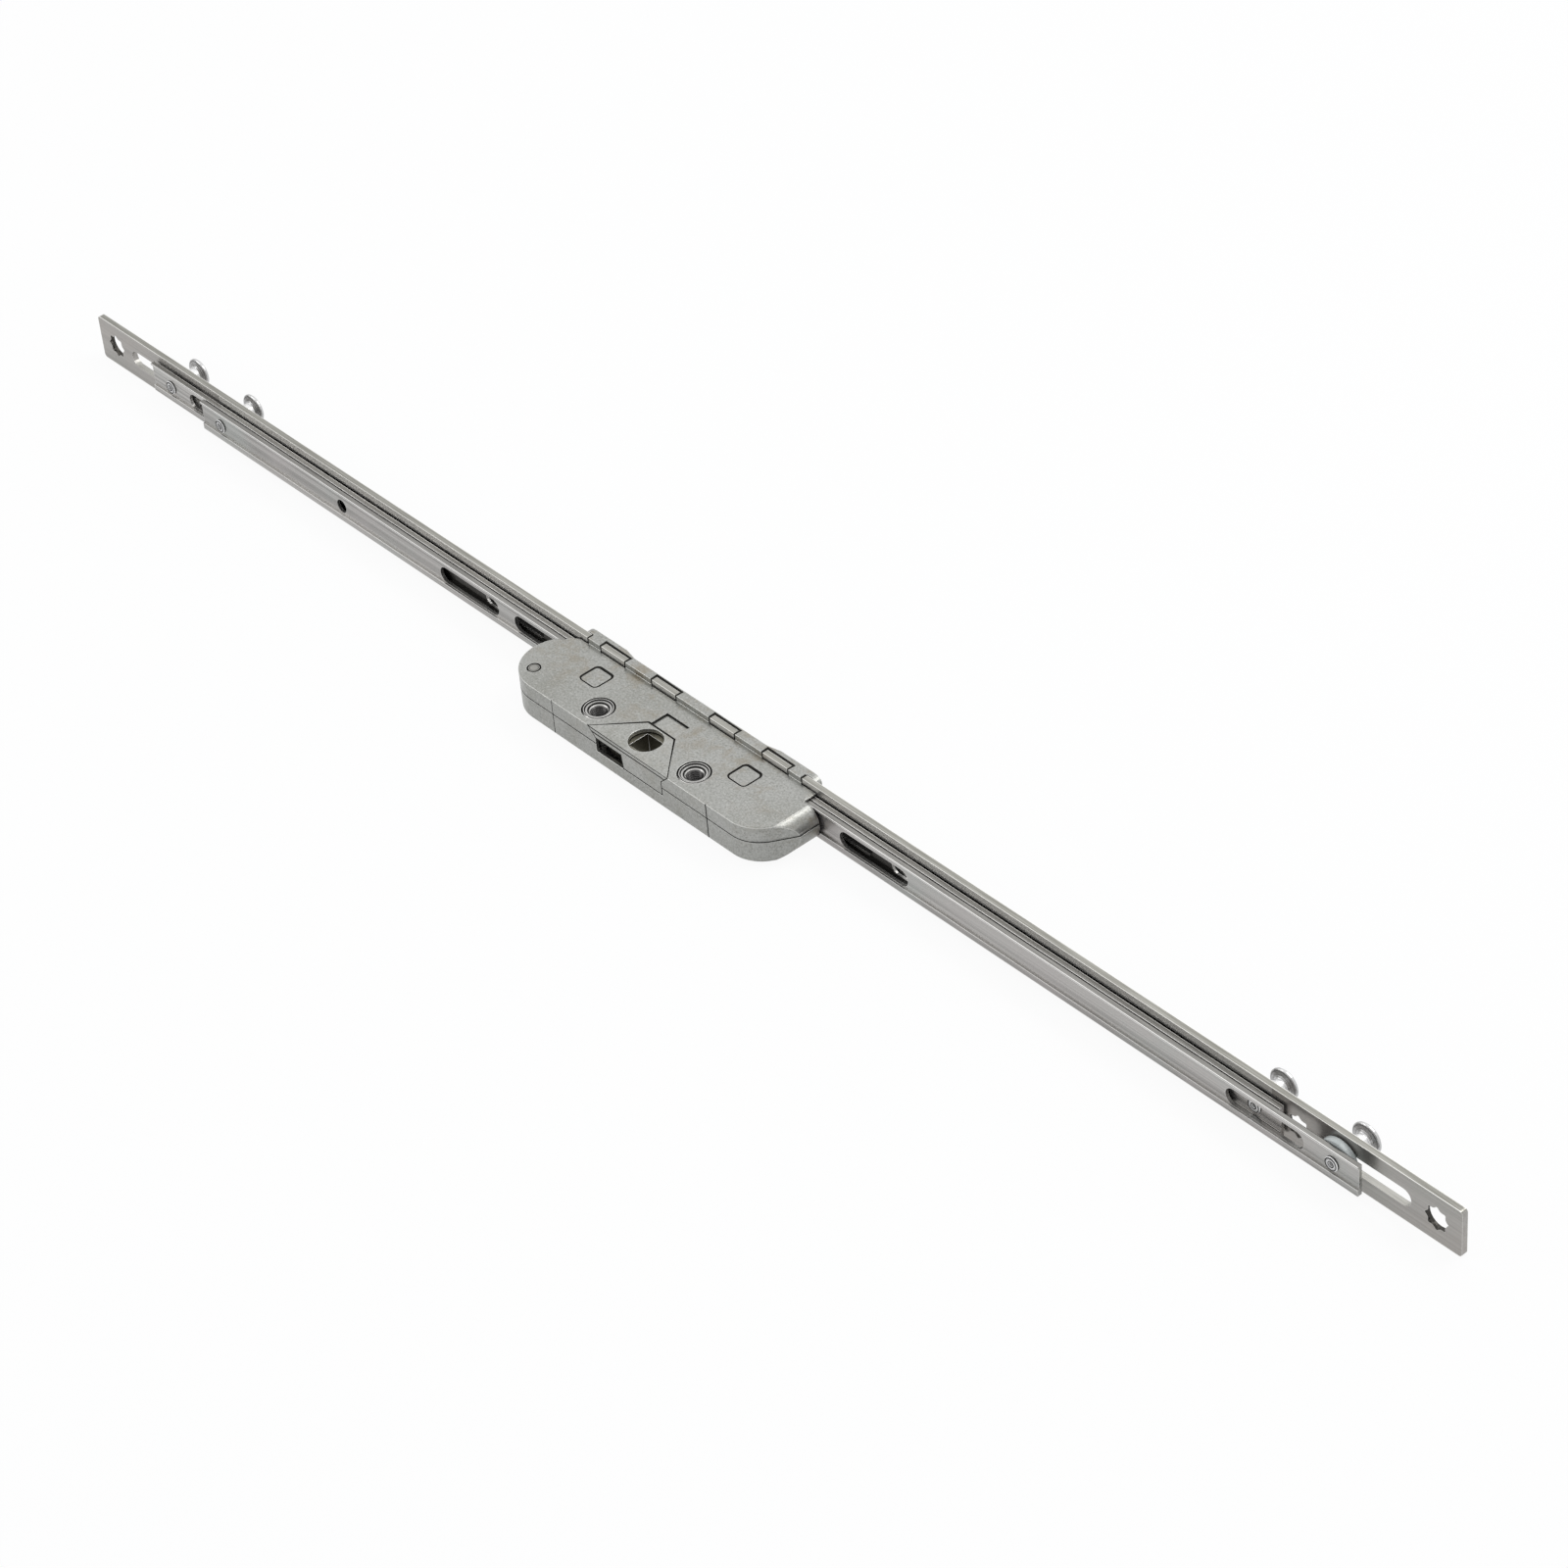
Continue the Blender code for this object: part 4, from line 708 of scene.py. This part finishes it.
def round_joints(bm):
    """Round the bushes and rivets, on both faces of the casing."""
    for side in ("left", "right"):
        for kind, inner in (("handle_bush_", BUSH_BORE_RIM), ("case_rivet_", 0.0)):
            node = kind + side
            low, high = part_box(node)
            middle = (Vector(low) + Vector(high)) / 2
            for turn, level in ((1, high[Z]), (-1, low[Z])):
                rim = [e for e in flat_border(node, Z, turn, level)
                       if across((e.start + e.end) / 2, middle) > inner]
                if kind == "handle_bush_" and turn > 0:
                    rim = [e for e in rim if across(e.start, middle) > BUSH_TOP_RIM]
                joint_strip(bm, rim, RIM_LINE, UP * turn)


def collar_joints(bm):
    """Between the bar's tabs and the fingers and collar of the casing."""
    for turn in (1, -1):
        tops = [e for e in flat_border("faceplate", Z, turn, turn * BAR_EDGE)
                if both_within(e, COLLAR_REACH) and e.outward.y > -LEANING]
        joint_strip(bm, tops, TAB_LINE, UP * turn)
    ends = [e for e in flat_border("faceplate", Y, -1, 0.0)
            if both_within(e, COLLAR_REACH) and abs(e.start.z) > TAB_FOOT
            and abs(e.outward.x) > LEANING]
    joint_strip(bm, ends, TAB_END_LINE, BACK)
    for edge in flat_border("faceplate", Z, 1, BAR_EDGE):
        low = max(min(edge.start.x, edge.end.x), -COLLAR_REACH)
        high = min(max(edge.start.x, edge.end.x), COLLAR_REACH)
        if edge.outward.y < -LEANING and low < high:
            foot = ((low, -TAB_END_LINE), (high, -TAB_END_LINE), (high, 0), (low, 0))
            add_face(bm, [Vector((x, y, CASE_TOP + LINE_LIFT)) for x, y in foot])


def wall_joints(bm):
    """Parting line round the casing and the upright grooves in its near wall."""
    middle = Vector((0, CASE_MIDDLE_Y, 0))
    parting = [e for e in flat_border("case_lower", Z, 1, PARTING_TOP)
               if e.outward.dot((e.start + e.end) / 2 - middle) > 0
               and e.start.y < COLLAR_BACK]
    # Painted shade band along the parting line.
    low, high = UP * -PARTING_BELOW, UP * PARTING_ABOVE
    for edge, (a, b) in zip(parting, mitres(parting)):
        start, end = edge.start + a * LINE_LIFT, edge.end + b * LINE_LIFT
        add_face(bm, (start + low, end + low, end + high, start + high))
    for node in ("case_upper", "case_lower"):
        groove = [e for e in flat_border(node, Y, -1, CASE_BACK)
                  if GROOVE_NEAR < abs(e.start.x) < GROOVE_FAR and abs(e.outward.x) > SQUARE_ON]
        joint_strip(bm, groove, GROOVE_LINE, BACK, GROOVE_LAP)


def add_joint_shade_lines():
    """Painted shade over the joints round the insert, posts, bushes and rivets, and between bar
    and collar.
    """
    bm = bmesh.new()
    insert_joints(bm)
    joint_strip(bm, flat_border("case_lower", Z, 1, CASE_TOP), POST_LINE, UP)
    round_joints(bm)
    collar_joints(bm)
    wall_joints(bm)
    finish_piece("joint_shade_lines", bm, JOINT, "gearbox", closed=False)


def add_cam_joints():
    """Painted shade ring round each cam's riveted tail, on the rail that carries it."""
    for rail in ("outer", "inner"):
        bm = bmesh.new()
        for side in ("left", "right"):
            cam = "cam_" + rail + "_" + side
            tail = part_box(cam)[0][Y]
            joint_strip(bm, flat_border(cam, Y, -1, tail), CAM_LINE, BACK)
        finish_piece("cam_joint_" + rail, bm, JOINT, rail + "_bar", closed=False)


add_joint_shade_lines()
add_cam_joints()


# Floor, background, lamps and camera

def make_floor():
    """Pale floor that the camera sees nearly white, and that metal mirrors a little darker."""
    half, seen_white, mirrored_white = 6.0, 0.93, 0.70
    bm = bmesh.new()
    add_face(bm, [(x, y, FLOOR_Z) for x, y in
                  ((-half, -half), (half, -half), (half, half), (-half, half))])
    mesh = bpy.data.meshes.new("floor")
    bm.to_mesh(mesh)
    bm.free()
    floor = bpy.data.objects.new("floor", mesh)
    scene.collection.objects.link(floor)
    g = Graph("pale_floor")
    cloud = g.noise(3, detail=2)
    g.link(g.ramp(cloud, [(0.3, (0.86, 0.86, 0.86)), (0.7, (0.88, 0.88, 0.88))]),
           g.bsdf.inputs["Base Color"])
    g.bsdf.inputs["Roughness"].default_value = 0.9
    path = g.node("ShaderNodeLightPath")
    white = g.node("ShaderNodeEmission")
    white.inputs["Color"].default_value = (1, 1, 1, 1)
    white.inputs["Strength"].default_value = 1.0
    mirrored = g.larger(path.outputs["Is Glossy Ray"], path.outputs["Is Transmission Ray"])
    share = g.larger(g.times(path.outputs["Is Camera Ray"], seen_white),
                     g.times(mirrored, mirrored_white))
    blend = g.node("ShaderNodeMixShader")
    g.link(share, blend.inputs[0])
    g.link(g.bsdf.outputs[0], blend.inputs[1])
    g.link(white.outputs[0], blend.inputs[2])
    g.link(blend.outputs[0], g.out.inputs["Surface"])
    mesh.materials.append(g.mat)


def larger_of(tree, a, b):
    node = tree.nodes.new("ShaderNodeMath")
    node.operation = "MAXIMUM"
    tree.links.new(a, node.inputs[0])
    tree.links.new(b, node.inputs[1])
    return node.outputs[0]


def make_world():
    """White to the camera and in reflections, and a plain grey light elsewhere."""
    world = bpy.data.worlds.new("studio")
    scene.world = world
    world.use_nodes = True
    tree = world.node_tree
    light = tree.nodes["Background"]
    light.inputs["Color"].default_value = (0.95, 0.97, 1.0, 1)
    light.inputs["Strength"].default_value = 0.75
    white = tree.nodes.new("ShaderNodeBackground")
    white.inputs["Color"].default_value = (1, 1, 1, 1)
    white.inputs["Strength"].default_value = 1.0
    rays = tree.nodes.new("ShaderNodeLightPath").outputs
    shown = larger_of(tree, rays["Is Camera Ray"], rays["Is Glossy Ray"])
    shown = larger_of(tree, shown, rays["Is Transmission Ray"])
    mix = tree.nodes.new("ShaderNodeMixShader")
    tree.links.new(shown, mix.inputs[0])
    tree.links.new(light.outputs[0], mix.inputs[1])
    tree.links.new(white.outputs[0], mix.inputs[2])
    tree.links.new(mix.outputs[0], tree.nodes["World Output"].inputs["Surface"])


def add_lamp(name, place, aim, size, power):
    lamp = bpy.data.lights.new(name, "AREA")
    lamp.shape = "RECTANGLE"
    lamp.size, lamp.size_y = size
    lamp.energy = power
    obj = bpy.data.objects.new(name, lamp)
    obj.location = place
    obj.rotation_euler = (Vector(aim) - Vector(place)).to_track_quat("-Z", "Y").to_euler()
    scene.collection.objects.link(obj)


def make_camera():
    """Camera solved from the photograph's straight edges and standard sizes."""
    azimuth, elevation, roll = math.radians(51.86), math.radians(39.31), math.radians(-5.44)
    distance = 1.39912
    target = Vector((0.03948, 0.0, 0.00121))
    away = Vector((math.sin(azimuth) * math.cos(elevation),
                   -math.cos(azimuth) * math.cos(elevation), math.sin(elevation)))
    level = Vector((math.cos(azimuth), math.sin(azimuth), 0))
    upright = away.cross(level)
    right = math.cos(roll) * level + math.sin(roll) * upright
    over = -math.sin(roll) * level + math.cos(roll) * upright
    turn = Matrix((right, over, away)).transposed().to_4x4()
    data = bpy.data.cameras.new("camera")
    data.sensor_width = 36.0
    data.lens = 112.03
    data.clip_start = 0.05
    data.clip_end = 50.0
    camera = bpy.data.objects.new("camera", data)
    camera.matrix_world = Matrix.Translation(target + away * distance) @ turn
    scene.collection.objects.link(camera)
    scene.camera = camera


make_floor()
make_world()
add_lamp("back_softbox", place=(-0.52, 0.68, 0.90), aim=(0, 0, 0), size=(0.9, 0.7), power=0.8)
add_lamp("top_strip", place=(0.36, 0.60, 1.00), aim=(0.05, 0, 0), size=(0.66, 0.4), power=3.8)
add_lamp("left_strip", place=(-0.80, -0.83, 0.66), aim=(0, 0, 0), size=(0.8, 0.3), power=2.2)
make_camera()
